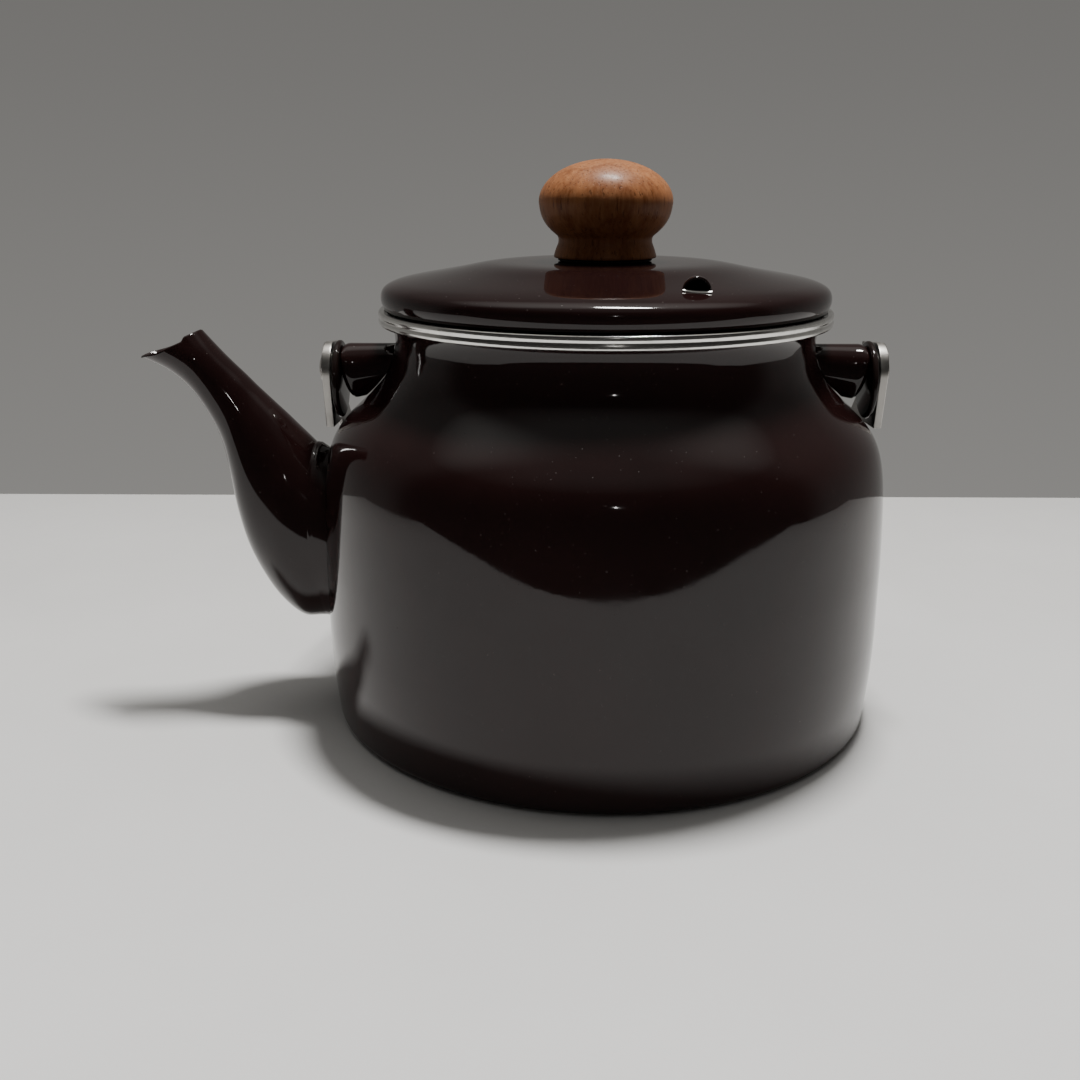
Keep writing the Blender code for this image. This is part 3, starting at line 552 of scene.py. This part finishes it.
def spout_stations():
    """(lower x, lower z, upper x, upper z, half width) from inside the wall to the pouring mouth."""
    rise = SPOUT_TIP_Z - SPOUT_ROOT_LOW
    climb = SPOUT_BACK_Z - SPOUT_ROOT_HIGH
    root = SPOUT_ROOT_HALF
    rows = []
    for out_low, f, out_high, g, half in (
            (-7.0 * MM, 0.0, -7.0 * MM, -0.2, root),
            (3.0 * MM, 0.0, 1.5 * MM, 0.0, root),
            (10.2 * MM, 0.002, 6.2 * MM, 0.122, root * 0.985),
            (17.6 * MM, 0.072, 9.8 * MM, 0.213, root * 0.955),
            (23.6 * MM, 0.172, 13.0 * MM, 0.296, root * 0.88),
            (28.2 * MM, 0.285, 16.2 * MM, 0.374, root * 0.80),
            (31.2 * MM, 0.415, 19.6 * MM, 0.457, root * 0.71),
            (33.0 * MM, 0.551, 23.0 * MM, 0.54, root * 0.615),
            (35.0 * MM, 0.676, 26.4 * MM, 0.628, root * 0.545),
            (38.9 * MM, 0.781, 29.8 * MM, 0.711, root * 0.50),
            (44.6 * MM, 0.879, 33.2 * MM, 0.797, root * 0.48),
            (51.8 * MM, 0.949, 36.8 * MM, 0.897, SPOUT_MOUTH_HALF * 1.07),
            (SPOUT_TIP_OUT, 1.0, SPOUT_BACK_OUT, 1.0, SPOUT_MOUTH_HALF)):
        rows.append((-BODY_R - out_low, SPOUT_ROOT_LOW + rise * f,
                     -BODY_R - out_high, SPOUT_ROOT_HIGH + climb * g, half))
    return rows


def station_at(t):
    """One section of the spout, t running from 0 at the root to 1 at the mouth."""
    rows = spout_stations()
    spans = len(rows) - 1
    k = min(int(t * spans), spans - 1)
    u = t * spans - k
    four = [rows[max(k - 1, 0)], rows[k], rows[k + 1], rows[min(k + 2, spans)]]
    out = []
    for a, b, c, d in zip(*four):
        out.append(0.5 * (2 * b + (c - a) * u + (2 * a - 5 * b + 4 * c - d) * u * u
                          + (3 * b - a - 3 * c + d) * u ** 3))
    return out


def spout_ring(t, grow, sides=96, back=0.0, crown=0.0):
    """An oval section, narrowed towards the lip near the mouth, grown and moved back from its plane.

    The crown is extra growth that is full on the upper side and fades out round the sides.
    """
    lx, lz, ux, uz, half = station_at(t)
    low = Vector((lx, 0, lz))
    high = Vector((ux, 0, uz))
    centre = (low + high) / 2
    along = (high - low) / 2
    reach = along.length
    along.normalize()
    normal = Vector((-along.z, 0, along.x))
    narrow = MOUTH_NARROWING * max(0.0, t - 0.8) / 0.2
    dip = max(0.0, (t - 0.86) / 0.14) ** 2 * MOUTH_DIP
    ring = []
    for i in range(sides):
        a = 2 * math.pi * i / sides
        c = math.cos(a)
        more = grow + crown * ((1 + c) / 2) ** 2
        width = (half + more) * (1 - narrow * max(0.0, -c) ** 1.5)
        sunk = back + dip * ease(c, 0.66, 0.5) * ease(c, -1.0, -0.2)
        sideways = Vector((0, width * math.sin(a), 0))
        ring.append(centre + along * (reach + more) * c + sideways - normal * sunk)
    return ring


def ease(value, start, end):
    """Rises smoothly from 0 at the start to 1 at the end."""
    t = min(max((value - start) / (end - start), 0.0), 1.0)
    return t * t * (3 - 2 * t)


def make_spout(enamel, body_solid):
    ts = [0.99 * i / 79 for i in range(80)]
    half = SPOUT_WALL * 0.5
    outer = [spout_ring(t, 0.0) for t in ts]
    lip = []
    for k in range(9):
        a = math.pi * k / 8
        lip.append(spout_ring(1.0, -half * (1 - math.cos(a)), back=half * (1 - math.sin(a))))
    inner = [spout_ring(t, -SPOUT_WALL) for t in ts]
    spout = loft("gooseneck", outer + lip + inner[::-1], loop=True)
    apply_boolean(spout, body_solid)
    place(spout, enamel, "kettle", "enamel", "spout")


def make_collar(enamel, body_solid):
    """The raised bead round the spout's root."""
    rows = ((0.0, 1.0), (0.05, 1.0), (0.075, 0.96), (0.09, 0.80), (0.102, 0.52), (0.110, 0.26), (0.118, 0.0))
    crest = smooth_curve(rows, 26)
    outer = []
    for p in crest:
        bead = COLLAR_BEAD * (1 - ease(p.x, 0.035, 0.085)) - 0.15 * MM
        outer.append(spout_ring(p.x, bead, crown=0.9 * COLLAR_FLARE * p.y))
    inner = [spout_ring(p.x, -1.5 * GAP) for p in crest]
    collar = loft("spout_bead", outer + inner[::-1], loop=True)
    apply_boolean(collar, body_solid)
    place(collar, enamel, "kettle", "enamel", "spout_collar")


# ---------------------------------------------------------------- ears and pivots

def ear_edges(x, inset):
    """Top and bottom of a horn at a distance from the vessel's axis."""
    end = EAR_END - inset
    top_r, low_r = 2.4 * MM, 10.5 * MM
    top = EAR_TOP - inset - 0.6 * top_r * (1 - quarter((x - end + top_r) / top_r))
    low = EAR_BOTTOM + inset + max(0.0, EAR_END - 4.0 * MM - x) * 0.22
    low += low_r * (1 - quarter((x - end + 0.42 * low_r) / (0.42 * low_r)))
    return top, min(low, top - 1.0 * MM)


def quarter(t):
    """Height of a quarter circle, 1 until t is 0 and then falling to 0 at t = 1."""
    t = min(max(t, 0.0), 1.0)
    return math.sqrt(1 - t * t)


def ear_body(name, sign, inset):
    """A horn of rounded section whose end is flat."""
    start, end = NECK_R - 3.5 * MM - inset, EAR_END - inset
    rings = []
    rounding = 2.4 * MM
    for f in np.sin(np.linspace(0, math.pi / 2, 34)):
        x = start + (end - start) * f
        top, low = ear_edges(x, inset)
        spread = 0.78 + 0.22 * max(0.0, (x - start) / (end - start)) ** 2
        half = (EAR_HALF - inset) * spread * (0.84 + 0.16 * quarter((x - end + rounding) / rounding))
        ring = []
        for a in np.linspace(0, 2 * math.pi, 65)[:-1]:
            c, q = math.cos(a), math.sin(a)
            power = 2 / 2.35
            y = half * math.copysign(abs(c) ** power, c)
            z = (top + low) / 2 + (top - low) / 2 * math.copysign(abs(q) ** power, q)
            ring.append(Vector((sign * x, y, z)))
        rings.append(ring)
    return loft(name, rings, closed_ends=True, sharp=50.0)


def make_ear(side, sign, enamel, body_solid):
    ear = ear_body("horn_" + side, sign, 0.0)
    hollow = ear_body("hollow_" + side, sign, EAR_WALL)
    bore = rod("bore_" + side, RIVET_R + GAP, (sign * (EAR_END - 6 * MM), 0, PIVOT_Z),
               (sign * (EAR_END + 6 * MM), 0, PIVOT_Z))
    for cutter in (hollow, bore, body_solid):
        apply_boolean(ear, cutter)
    discard(hollow, bore)
    place(ear, enamel, "kettle", "enamel", "ear_" + side)


def make_pivot(side, sign, dark, steel):
    middle = (DISC_IN + DISC_OUT) / 2
    rounding = [(DISC_IN, DISC_R - 0.8 * MM),
                (DISC_IN + 0.4 * MM, DISC_R - 0.15 * MM),
                (middle, DISC_R),
                (DISC_OUT - 0.4 * MM, DISC_R - 0.15 * MM),
                (DISC_OUT, DISC_R - 0.8 * MM)]
    profile = [(0, DISC_OUT)] + [(r, x) for x, r in reversed(rounding)] + [(0, DISC_IN)]
    profile = fillet(profile, 0.35 * MM, 4)
    disc = lathe("disc_" + side, profile, 96, matrix=along_x(sign, 0, DISC_Z), sharp=50.0)
    bore = rod("bore_" + side, RIVET_R + GAP, (sign * (DISC_IN - 2 * MM), 0, PIVOT_Z),
               (sign * (DISC_OUT + 2 * MM), 0, PIVOT_Z))
    apply_boolean(disc, bore)
    discard(bore)
    place(disc, dark, "kettle", "dark_disc", "ear_disc_" + side)

    hole = RIVET_R + GAP
    ring = [(hole, WASHER_OUT), (WASHER_R, WASHER_OUT), (WASHER_R, WASHER_IN), (hole, WASHER_IN)]
    washer = lathe("washer_" + side, fillet(ring, 0.15 * MM, 4, closed=True), 72, closed=True,
                   matrix=along_x(sign, 0, PIVOT_Z))
    place(washer, steel, "kettle", "bright_steel", "pivot_washer_" + side)

    head_in = PLATE_OUT + GAP
    inner_in = EAR_END - EAR_WALL - GAP
    dome = arc((0, 0), 1.0, 84, 4, 14)
    rivet = [(0, RIVET_OUT)]
    rivet += [(RIVET_HEAD_R * p.x, head_in + (RIVET_OUT - head_in) * p.y) for p in dome]
    rivet += [(RIVET_HEAD_R - 0.3 * MM, head_in),
              (RIVET_R, head_in),
              (RIVET_R, inner_in),
              (RIVET_R + 1.3 * MM, inner_in),
              (RIVET_R + 0.5 * MM, RIVET_IN),
              (0, RIVET_IN)]
    pin = lathe("rivet_" + side, rivet, 72, matrix=along_x(sign, 0, PIVOT_Z), sharp=45.0)
    place(pin, steel, "kettle", "bright_steel", "pivot_rivet_" + side)


# ---------------------------------------------------------------- bail handle

HINGE = Matrix.Translation((0, 0, PIVOT_Z)) @ Matrix.Rotation(-math.pi / 2 - FOLD, 4, "X")


def strap_width(s):
    """Half width of the strap at a distance along it: round end, diamond corners, parallel arm."""
    wide, at = PLATE_CORNER
    touch = touch_angle()
    round_end = -PLATE_TIP_R * math.sin(touch)
    if s < round_end:
        return math.sqrt(max(PLATE_TIP_R ** 2 - s * s, 0.0))
    start = PLATE_TIP_R * math.cos(touch)
    if s < at:
        return start + (wide - start) * (s - round_end) / (at - round_end)
    return max(ARM_HALF, wide - (s - at) * PLATE_TAPER)


def touch_angle():
    """How far below level the plate's straight flank touches its round end."""
    wide, at = PLATE_CORNER
    swing = math.acos(PLATE_TIP_R / math.hypot(wide, at))
    return swing - math.atan2(at, wide)


def strap_path(sign):
    """Middle, outward normal, half width and thickness along one arm, in the handle's own upright frame."""
    mid = PLATE_OUT - PLATE_THICK / 2
    wide, at = PLATE_CORNER
    rise = BAIL_R - ARM_BEND_R
    taper_end = at + (wide - ARM_HALF) / PLATE_TAPER
    stops = [-PLATE_TIP_R * math.cos(a) for a in np.linspace(0.02, math.pi / 2 - touch_angle(), 14)]
    stops += list(np.linspace(stops[-1], at - 0.5 * MM, 9))[1:] + [at, at + 0.5 * MM]
    stops += list(np.linspace(at + 0.5 * MM, taper_end, 9))[1:]
    stops += [taper_end + 1 * MM, taper_end + 3 * MM, taper_end + 5 * MM, rise - 1 * MM]
    out = []
    for s in stops:
        extra = PLATE_THICK - 0.1 * MM - ARM_THICK
        thick = ARM_THICK + extra * (1 - ease(s, at, taper_end + 5 * MM))
        out.append((Vector((sign * mid, 0, s)), Vector((sign, 0, 0)), strap_width(s), thick))
    for a in np.linspace(0, math.pi / 2, 40):
        normal = Vector((sign * math.cos(a), 0, math.sin(a)))
        centre = Vector((sign * (mid - ARM_BEND_R), 0, rise))
        out.append((centre + normal * ARM_BEND_R, normal, ARM_HALF, ARM_THICK))
    last = mid - ARM_BEND_R
    for x in np.linspace(last, TANG_END, 6)[1:]:
        out.append((Vector((sign * x, 0, BAIL_R)), Vector((0, 0, 1)), ARM_HALF, ARM_THICK))
    return out


def strap_section(centre, normal, half, thick):
    """A flat section with rounded edges."""
    edge = min(0.45 * MM, thick * 0.45, half * 0.9)
    flat = [(-half, -thick / 2), (half, -thick / 2), (half, thick / 2), (-half, thick / 2)]
    corners = fillet(flat, edge, 4, closed=True)
    return [centre + Vector((0, 1, 0)) * p.x + normal * p.y for p in corners]


def make_arm(side, sign, steel):
    rings = []
    for centre, normal, half, thick in strap_path(sign):
        rings.append([HINGE @ p for p in strap_section(centre, normal, half, thick)])
    arm = loft("strap_" + side, rings, closed_ends=True, sharp=50.0)
    pivot = rod("bore_" + side, RIVET_R + GAP, (sign * (PLATE_OUT - 6 * MM), 0, PIVOT_Z),
                (sign * (PLATE_OUT + 4 * MM), 0, PIVOT_Z))
    tang = rod("tang_bore_" + side, PIN_R + GAP, HINGE @ Vector((sign * PIN_X, 0, BAIL_R - 4 * MM)),
               HINGE @ Vector((sign * PIN_X, 0, BAIL_R + 4 * MM)))
    apply_boolean(arm, pivot)
    apply_boolean(arm, tang)
    discard(pivot, tang)
    place(arm, steel, "bail", "bright_steel", "bail_arm_" + side)


def slot_cutter(name, sign, inner, outer):
    """A flat block that opens the slot a tang runs in."""
    half, thick = ARM_HALF + 1.3 * GAP, ARM_THICK / 2 + 1.2 * GAP
    outline = [(inner, -half), (outer, -half), (outer, half), (inner, half)]
    frame_of = HINGE @ Matrix.Translation((0, 0, BAIL_R)) @ Matrix.Diagonal((sign, 1, 1, 1))
    return slab(name, outline, 2 * thick, frame_of)


def make_grip(wood):
    """Turned barrel grip, slotted and cross-bored at both ends."""
    step = GRIP_HALF - FERRULE_LEN + FERRULE_WALL + GAP
    seat_r = GRIP_END_R - FERRULE_WALL - GAP
    shoulder_r = GRIP_END_R + 1.0 * MM
    waist_r = GRIP_R - 0.4 * MM
    swell = smooth_curve([(-step, GRIP_END_R),
                          (-step * 0.72, shoulder_r),
                          (-step * 0.36, waist_r),
                          (0, GRIP_BELLY_R),
                          (step * 0.36, waist_r),
                          (step * 0.72, shoulder_r),
                          (step, GRIP_END_R)], 60)
    barrel = []
    for p in swell:
        groove = sum(math.exp(-((abs(p.x) - at * step) / (0.8 * MM)) ** 2) for at in (0.80, 0.88))
        barrel.append((p.y - 0.35 * MM * groove, p.x))
    profile = [(0, -GRIP_HALF), (seat_r, -GRIP_HALF), (seat_r, -step)] + barrel
    profile += [(seat_r, step), (seat_r, GRIP_HALF), (0, GRIP_HALF)]
    turn = HINGE @ Matrix.Translation((0, 0, BAIL_R)) @ Matrix.Rotation(math.pi / 2, 4, "Y")
    grip = lathe("grip", fillet(profile, 0.5 * MM, 3), 96, matrix=turn, sharp=40.0)
    for side, sign in SIDES:
        slot = slot_cutter("slot_" + side, sign, TANG_END - GAP, GRIP_HALF + 2 * MM)
        bore = rod("pin_bore_" + side, PIN_R + GAP, HINGE @ Vector((sign * PIN_X, 0, BAIL_R - 2 * GRIP_R)),
                   HINGE @ Vector((sign * PIN_X, 0, BAIL_R + 2 * GRIP_R)))
        apply_boolean(grip, slot)
        apply_boolean(grip, bore)
        discard(slot, bore)
    place(grip, wood, "bail", "turned_wood", "bail_grip")


def make_ferrule(side, sign, steel):
    inner = GRIP_HALF - FERRULE_LEN + FERRULE_WALL + 2 * GAP
    cap_in = GRIP_HALF + GAP
    cap_out = cap_in + FERRULE_WALL
    r_in = GRIP_END_R - FERRULE_WALL
    profile = [(0, cap_out), (GRIP_END_R - 0.2 * MM, cap_out), (GRIP_END_R, cap_out - 1.0 * MM),
               (GRIP_END_R, inner), (r_in, inner), (r_in, cap_in), (0, cap_in)]
    turn = HINGE @ Matrix.Translation((0, 0, BAIL_R)) @ Matrix.Rotation(sign * math.pi / 2, 4, "Y")
    ferrule = lathe("ferrule_" + side, fillet(profile, 0.5 * MM, 4), 96, matrix=turn, sharp=40.0)
    slot = slot_cutter("ferrule_slot_" + side, sign, GRIP_HALF - 1 * MM, cap_out + 2 * MM)
    apply_boolean(ferrule, slot)
    discard(slot)
    place(ferrule, steel, "bail", "bright_steel", "grip_ferrule_" + side)


def make_grip_pin(side, sign, steel):
    half = GRIP_END_R + 0.9 * MM
    point = 0.3 * MM
    bends = np.linspace(math.pi / 2, 0, 6)
    dome = [(PIN_R * math.cos(a), half - point + point * math.sin(a)) for a in bends]
    profile = dome + [(r, -z) for r, z in reversed(dome)]
    turn = HINGE @ Matrix.Translation((sign * PIN_X, 0, BAIL_R))
    pin = lathe("pin_" + side, profile, 32, matrix=turn, sharp=50.0)
    place(pin, steel, "bail", "bright_steel", "grip_pin_" + side)


# ---------------------------------------------------------------- lid

def lid_outer(count):
    """Outer side of the lid from the rim of its flat middle down to its edge."""
    drops = ((0.41, 0.0), (0.52, 0.4), (0.65, 2.1), (0.787, 3.95), (0.895, 5.4), (0.957, 6.7))
    slope = [(LID_R * share, LID_TOP - drop * MM) for share, drop in drops]
    edge = [(LID_R - 0.8 * MM, LID_TOP - 8.3 * MM),
            (LID_R, LID_TOP - 10.8 * MM),
            (LID_R - 0.3 * MM, LID_LIP_Z + 1.5 * MM),
            (LID_R - 1.0 * MM, LID_LIP_Z)]
    curve = smooth_curve(slope + edge, count)
    return [Vector((min(p.x, LID_R), min(p.y, LID_TOP))) for p in curve]


def vent_frame():
    """Stands on the lid's slope at the vent, with +Y pointing away from the opening."""
    a = math.radians(VENT_DEG)
    spot = Matrix.Translation((VENT_R * math.cos(a), VENT_R * math.sin(a), LID_TOP - 4.75 * MM))
    tilt = Matrix.Rotation(math.radians(VENT_SLOPE_DEG), 4, Vector((-math.sin(a), math.cos(a), 0)))
    return spot @ tilt @ Matrix.Rotation(math.radians(VENT_FACING_DEG + 90), 4, "Z")


def half_dome(name, half, height, length, matrix):
    """Half an ellipsoid with its flat mouth at its own y = 0."""
    rings = []
    for i in range(17):
        a = math.pi / 2 * i / 16
        size = max(math.cos(a), 0.02)
        y = length * math.sin(a)
        rings.append([matrix @ Vector((half * size * math.cos(b), y, height * size * math.sin(b)))
                      for b in np.linspace(0, 2 * math.pi, 49)[:-1]])
    return loft(name, rings, closed_ends=True)


def make_lid(enamel, steel):
    outer = lid_outer(90)
    inner = offset(outer, LID_WALL)
    profile = [Vector((0, LID_TOP))] + outer + inner[::-1] + [Vector((0, LID_TOP - LID_WALL))]
    lid = lathe("lid", profile)
    frame_of = vent_frame()
    hood_at = frame_of @ Matrix.Translation((0, 0.2 * MM, 0))
    cavity_at = frame_of @ Matrix.Translation((0, -0.4 * MM, 0))
    hood_size = (VENT_HALF + VENT_SHEET, VENT_HEIGHT + VENT_SHEET, VENT_LENGTH + VENT_SHEET)
    hood = half_dome("hood", *hood_size, hood_at)
    cavity = half_dome("cavity", VENT_HALF, VENT_HEIGHT, VENT_LENGTH, cavity_at)
    bore = rod("lid_bore", SCREW_R + GAP, (0, 0, LID_TOP - 4 * MM), (0, 0, LID_TOP + 4 * MM))
    apply_boolean(lid, hood, "UNION")
    apply_boolean(lid, cavity)
    apply_boolean(lid, bore)
    discard(hood, cavity, bore)
    place(lid, enamel, "lid", "enamel", "lid_shell")
    make_vent_lip(enamel, steel, frame_of)


def make_vent_lip(enamel, steel, frame_of):
    """The rolled edge over the vent's mouth and its bare, slightly sagging lower lip."""
    reach = VENT_HALF + VENT_SHEET / 2
    rise = VENT_HEIGHT + VENT_SHEET / 2
    arch = [Vector((reach * math.cos(b), 0.2 * MM, rise * math.sin(b)))
            for b in np.linspace(math.pi * 0.97, math.pi * 0.03, 31)]
    tongue = [Vector((f * reach * 1.12, -0.55 * MM, (0.30 + 0.25 * f * f) * MM))
              for f in np.linspace(-1, 1, 25)]
    upper = vent_strip("vent_arch", arch, Vector((0, -1, 0)), 0.5 * MM, 0.42 * MM, frame_of)
    lower = vent_strip("vent_tongue", tongue, Vector((0, -0.5, 0.86)), 0.60 * MM, 0.22 * MM, frame_of)
    place(upper, enamel, "lid", "enamel")
    place(lower, steel, "lid", "bright_steel")


def vent_strip(name, path, facing, broad, thin, frame_of):
    """A bead of oval section along a path, thinning towards both ends."""
    last = len(path) - 1
    rings = []
    for i, p in enumerate(path):
        d = (path[min(i + 1, last)] - path[max(i - 1, 0)]).normalized()
        across = d.cross(facing).normalized()
        out = across.cross(d).normalized()
        fade = 0.35 + 0.65 * math.sin(math.pi * (i + 0.5) / len(path)) ** 0.4
        ring = []
        for b in np.linspace(0, 2 * math.pi, 17)[:-1]:
            ring.append(frame_of @ (p + (across * broad * math.cos(b) + out * thin * math.sin(b)) * fade))
        rings.append(ring)
    return loft(name, rings, closed_ends=True, sharp=60.0)


def make_flange(enamel):
    inside = FLANGE_R - FLANGE_WALL
    ring = [(inside, FLANGE_HIGH), (FLANGE_R, FLANGE_HIGH), (FLANGE_R, FLANGE_LOW), (inside, FLANGE_LOW)]
    skirt = lathe("skirt", fillet(ring, 0.4 * MM, 5, closed=True), closed=True)
    place(skirt, enamel, "lid", "enamel", "lid_flange")


def knob_profile():
    top = [(KNOB_R * math.cos(a), KNOB_MID + (KNOB_TOP - KNOB_MID) * math.sin(a))
           for a in np.linspace(math.pi / 2, 0, 40)]
    low = smooth_curve([(KNOB_R, KNOB_MID),
                        (KNOB_R - 0.8 * MM, KNOB_MID - 4.0 * MM),
                        (KNOB_R - 3.2 * MM, KNOB_MID - 8.0 * MM),
                        (KNOB_WAIST_R + 0.6 * MM, KNOB_WAIST_Z + 0.5 * MM)], 22)[1:]
    foot = smooth_curve([(KNOB_WAIST_R + 0.25 * MM, KNOB_WAIST_Z),
                         (KNOB_WAIST_R + 0.1 * MM, KNOB_WAIST_Z - 1.2 * MM),
                         (KNOB_WAIST_R + 0.8 * MM, KNOB_WAIST_Z - 3.4 * MM),
                         (KNOB_BASE_R, KNOB_BASE_Z + 0.6 * MM)], 12)
    end = [(KNOB_BASE_R - 0.15 * MM, KNOB_BASE_Z + 0.15 * MM), (KNOB_BASE_R - 0.6 * MM, KNOB_BASE_Z)]
    return top + [(p.x, p.y) for p in low] + [(p.x, p.y) for p in foot] + end


def make_knob(wood):
    bore_r = SCREW_R + GAP
    bore = [(bore_r, KNOB_BASE_Z), (bore_r, SCREW_TOP + GAP), (0, SCREW_TOP + GAP)]
    knob = lathe("turned_knob", knob_profile() + bore, 144, sharp=40.0)
    place(knob, wood, "lid", "turned_wood", "knob")


# ---------------------------------------------------------------- stage

TABLE_FRONT = -0.33
TABLE_BACK = 0.275
TABLE_HALF = 1.0
TABLE_THICK = 0.03
WALL_TONES = ((-0.25, 0.255), (0.07, 0.182), (0.45, 0.12), (0.70, 0.16), (0.93, 1.15))
ROOM_STRENGTH = 0.22                # brightness of the room in front, as a share of the wall's


def make_table():
    outline = [(-TABLE_HALF, TABLE_FRONT), (TABLE_HALF, TABLE_FRONT), (TABLE_HALF, TABLE_BACK),
               (-TABLE_HALF, TABLE_BACK)]
    table = slab("table", outline, TABLE_THICK, Matrix.Translation((0, 0, -TABLE_THICK / 2)))
    s = Shader("pale_table")
    cloud = s.band(s.noise(9.0, 4.0, 0.6), 0.3, 0.7, 0.0, 0.12)
    split = s.add("ShaderNodeSeparateXYZ")
    s.link(s.position, split.inputs[0])
    # Painted light: the table's colour grows lighter towards the front to stand in for brighter light there;
    # the cloud noise adds its own uneven tone.
    front_painted_light = s.band(split.outputs["Y"], TABLE_BACK, TABLE_FRONT)
    tone = s.maths("ADD", front_painted_light, cloud)
    s.connect(Base_Color=s.mix(tone, (0.540, 0.536, 0.527), (0.86, 0.86, 0.86)))
    s.connect(Roughness=s.band(s.noise(60.0), 0.3, 0.7, 0.75, 0.92))
    s.connect(Normal=s.bump(s.noise(420.0), 0.08 * MM))
    table.data.materials.append(s.material)


def make_world():
    """A plain grey wall behind and a bright ceiling over it; the room in front is darker.

    Each tone of the wall stands at a height given as the sine of its elevation.
    """
    world = bpy.data.worlds.new("room")
    bpy.context.scene.world = world
    world.use_nodes = True
    tree = world.node_tree
    coords = tree.nodes.new("ShaderNodeTexCoord")
    split = tree.nodes.new("ShaderNodeSeparateXYZ")
    tree.links.new(coords.outputs["Generated"], split.inputs[0])
    height = map_range(tree, split.outputs["Z"], -1.0, 1.0, 0.0, 1.0, "LINEAR")
    wall = tree.nodes.new("ShaderNodeValToRGB")
    tree.links.new(height, wall.inputs["Fac"])
    while len(wall.color_ramp.elements) < len(WALL_TONES):
        wall.color_ramp.elements.new(0.5)
    for element, (z, tone) in zip(wall.color_ramp.elements, WALL_TONES):
        element.position = (z + 1) / 2
        element.color = (tone, 0.975 * tone, 0.93 * tone, 1.0)
    behind = map_range(tree, split.outputs["Y"], -0.18, 0.16, ROOM_STRENGTH, 1.0, "SMOOTHSTEP")
    tree.links.new(wall.outputs["Color"], tree.nodes["Background"].inputs["Color"])
    tree.links.new(behind, tree.nodes["Background"].inputs["Strength"])


def map_range(tree, value, low, high, out_low, out_high, kind):
    node = tree.nodes.new("ShaderNodeMapRange")
    node.interpolation_type = kind
    for key, number in zip(RANGE_KEYS, (low, high, out_low, out_high)):
        node.inputs[key].default_value = number
    tree.links.new(value, node.inputs["Value"])
    return node.outputs["Result"]


def make_light(name, location, target, size, power, colour=(1.0, 0.985, 0.96)):
    data = bpy.data.lights.new(name, "AREA")
    data.shape = "ELLIPSE"
    data.size, data.size_y = size
    data.energy = power
    data.color = colour
    light = bpy.data.objects.new(name, data)
    light.location = location
    direction = Vector(target) - Vector(location)
    light.rotation_euler = direction.to_track_quat("-Z", "Y").to_euler()
    bpy.context.scene.collection.objects.link(light)


CAMERA_AT = (-0.0154, -0.4101, 0.1815)
CAMERA_LENS = 40.57                 # millimetres, for a frame 36 mm wide
CAMERA_TILT_DEG = 73.091            # 90 would look level
CAMERA_TURN_DEG = 0.833


def make_camera():
    data = bpy.data.cameras.new("camera")
    data.sensor_width = 36.0
    data.lens = CAMERA_LENS
    camera = bpy.data.objects.new("camera", data)
    camera.location = CAMERA_AT
    camera.rotation_euler = (math.radians(CAMERA_TILT_DEG), 0, math.radians(CAMERA_TURN_DEG))
    bpy.context.scene.collection.objects.link(camera)
    bpy.context.scene.camera = camera


# ---------------------------------------------------------------- build

ENAMEL = enamel_material("dark_brown_enamel")
DARK = enamel_material("dark_disc_enamel", (0.016, 0.010, 0.009), (0.009, 0.005, 0.005), 0.18)
RIM_STEEL = steel_material("rim_steel", (0.78, 0.77, 0.74), 0.12)
# inside=0.45 paints shade on the strap's inward faces and narrow edges.
STRAP_STEEL = steel_material("strap_steel", (0.56, 0.54, 0.51), 0.17, (1.0, 0.2, 0.2), inside=0.45)
FITTING_STEEL = steel_material("fitting_steel", (0.60, 0.58, 0.55), 0.17)
VENT_STEEL = steel_material("vent_steel", (0.80, 0.79, 0.76), 0.30)
KNOB_WOOD = wood_material("knob_wood", 2)
GRIP_WOOD = wood_material("grip_wood", 0)
RUBBER = rubber_material("seat_rubber")

make_body(ENAMEL)
make_rim_band(RIM_STEEL)
BODY_SOLID = envelope("envelope", GAP)
TIGHT_SOLID = envelope("tight_envelope", 0.05 * MM)
make_spout(ENAMEL, BODY_SOLID)
make_collar(ENAMEL, TIGHT_SOLID)
for SIDE, SIGN in SIDES:
    make_ear(SIDE, SIGN, ENAMEL, BODY_SOLID)
    make_pivot(SIDE, SIGN, DARK, FITTING_STEEL)
    make_arm(SIDE, SIGN, STRAP_STEEL)
    make_ferrule(SIDE, SIGN, FITTING_STEEL)
    make_grip_pin(SIDE, SIGN, FITTING_STEEL)
discard(BODY_SOLID, TIGHT_SOLID)
make_grip(GRIP_WOOD)
make_lid(ENAMEL, VENT_STEEL)
make_flange(ENAMEL)
make_knob(KNOB_WOOD)
KEPT_NODES = (("knob_seat", RUBBER), ("knob_screw", FITTING_STEEL), ("knob_screw_washer", FITTING_STEEL))
for NAME, FINISH in KEPT_NODES:
    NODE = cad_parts[NAME]
    NODE.data.materials.clear()
    NODE.data.materials.append(FINISH)

make_table()
make_world()
make_light("ceiling_lamp", (0.14, 0.22, 1.65), (0, 0, 0.05), (0.42, 0.18), 36.0)
make_light("room_lamp", (0.10, -1.60, 0.80), (0, 0, 0.12), (0.04, 0.04), 0.25)
make_camera()
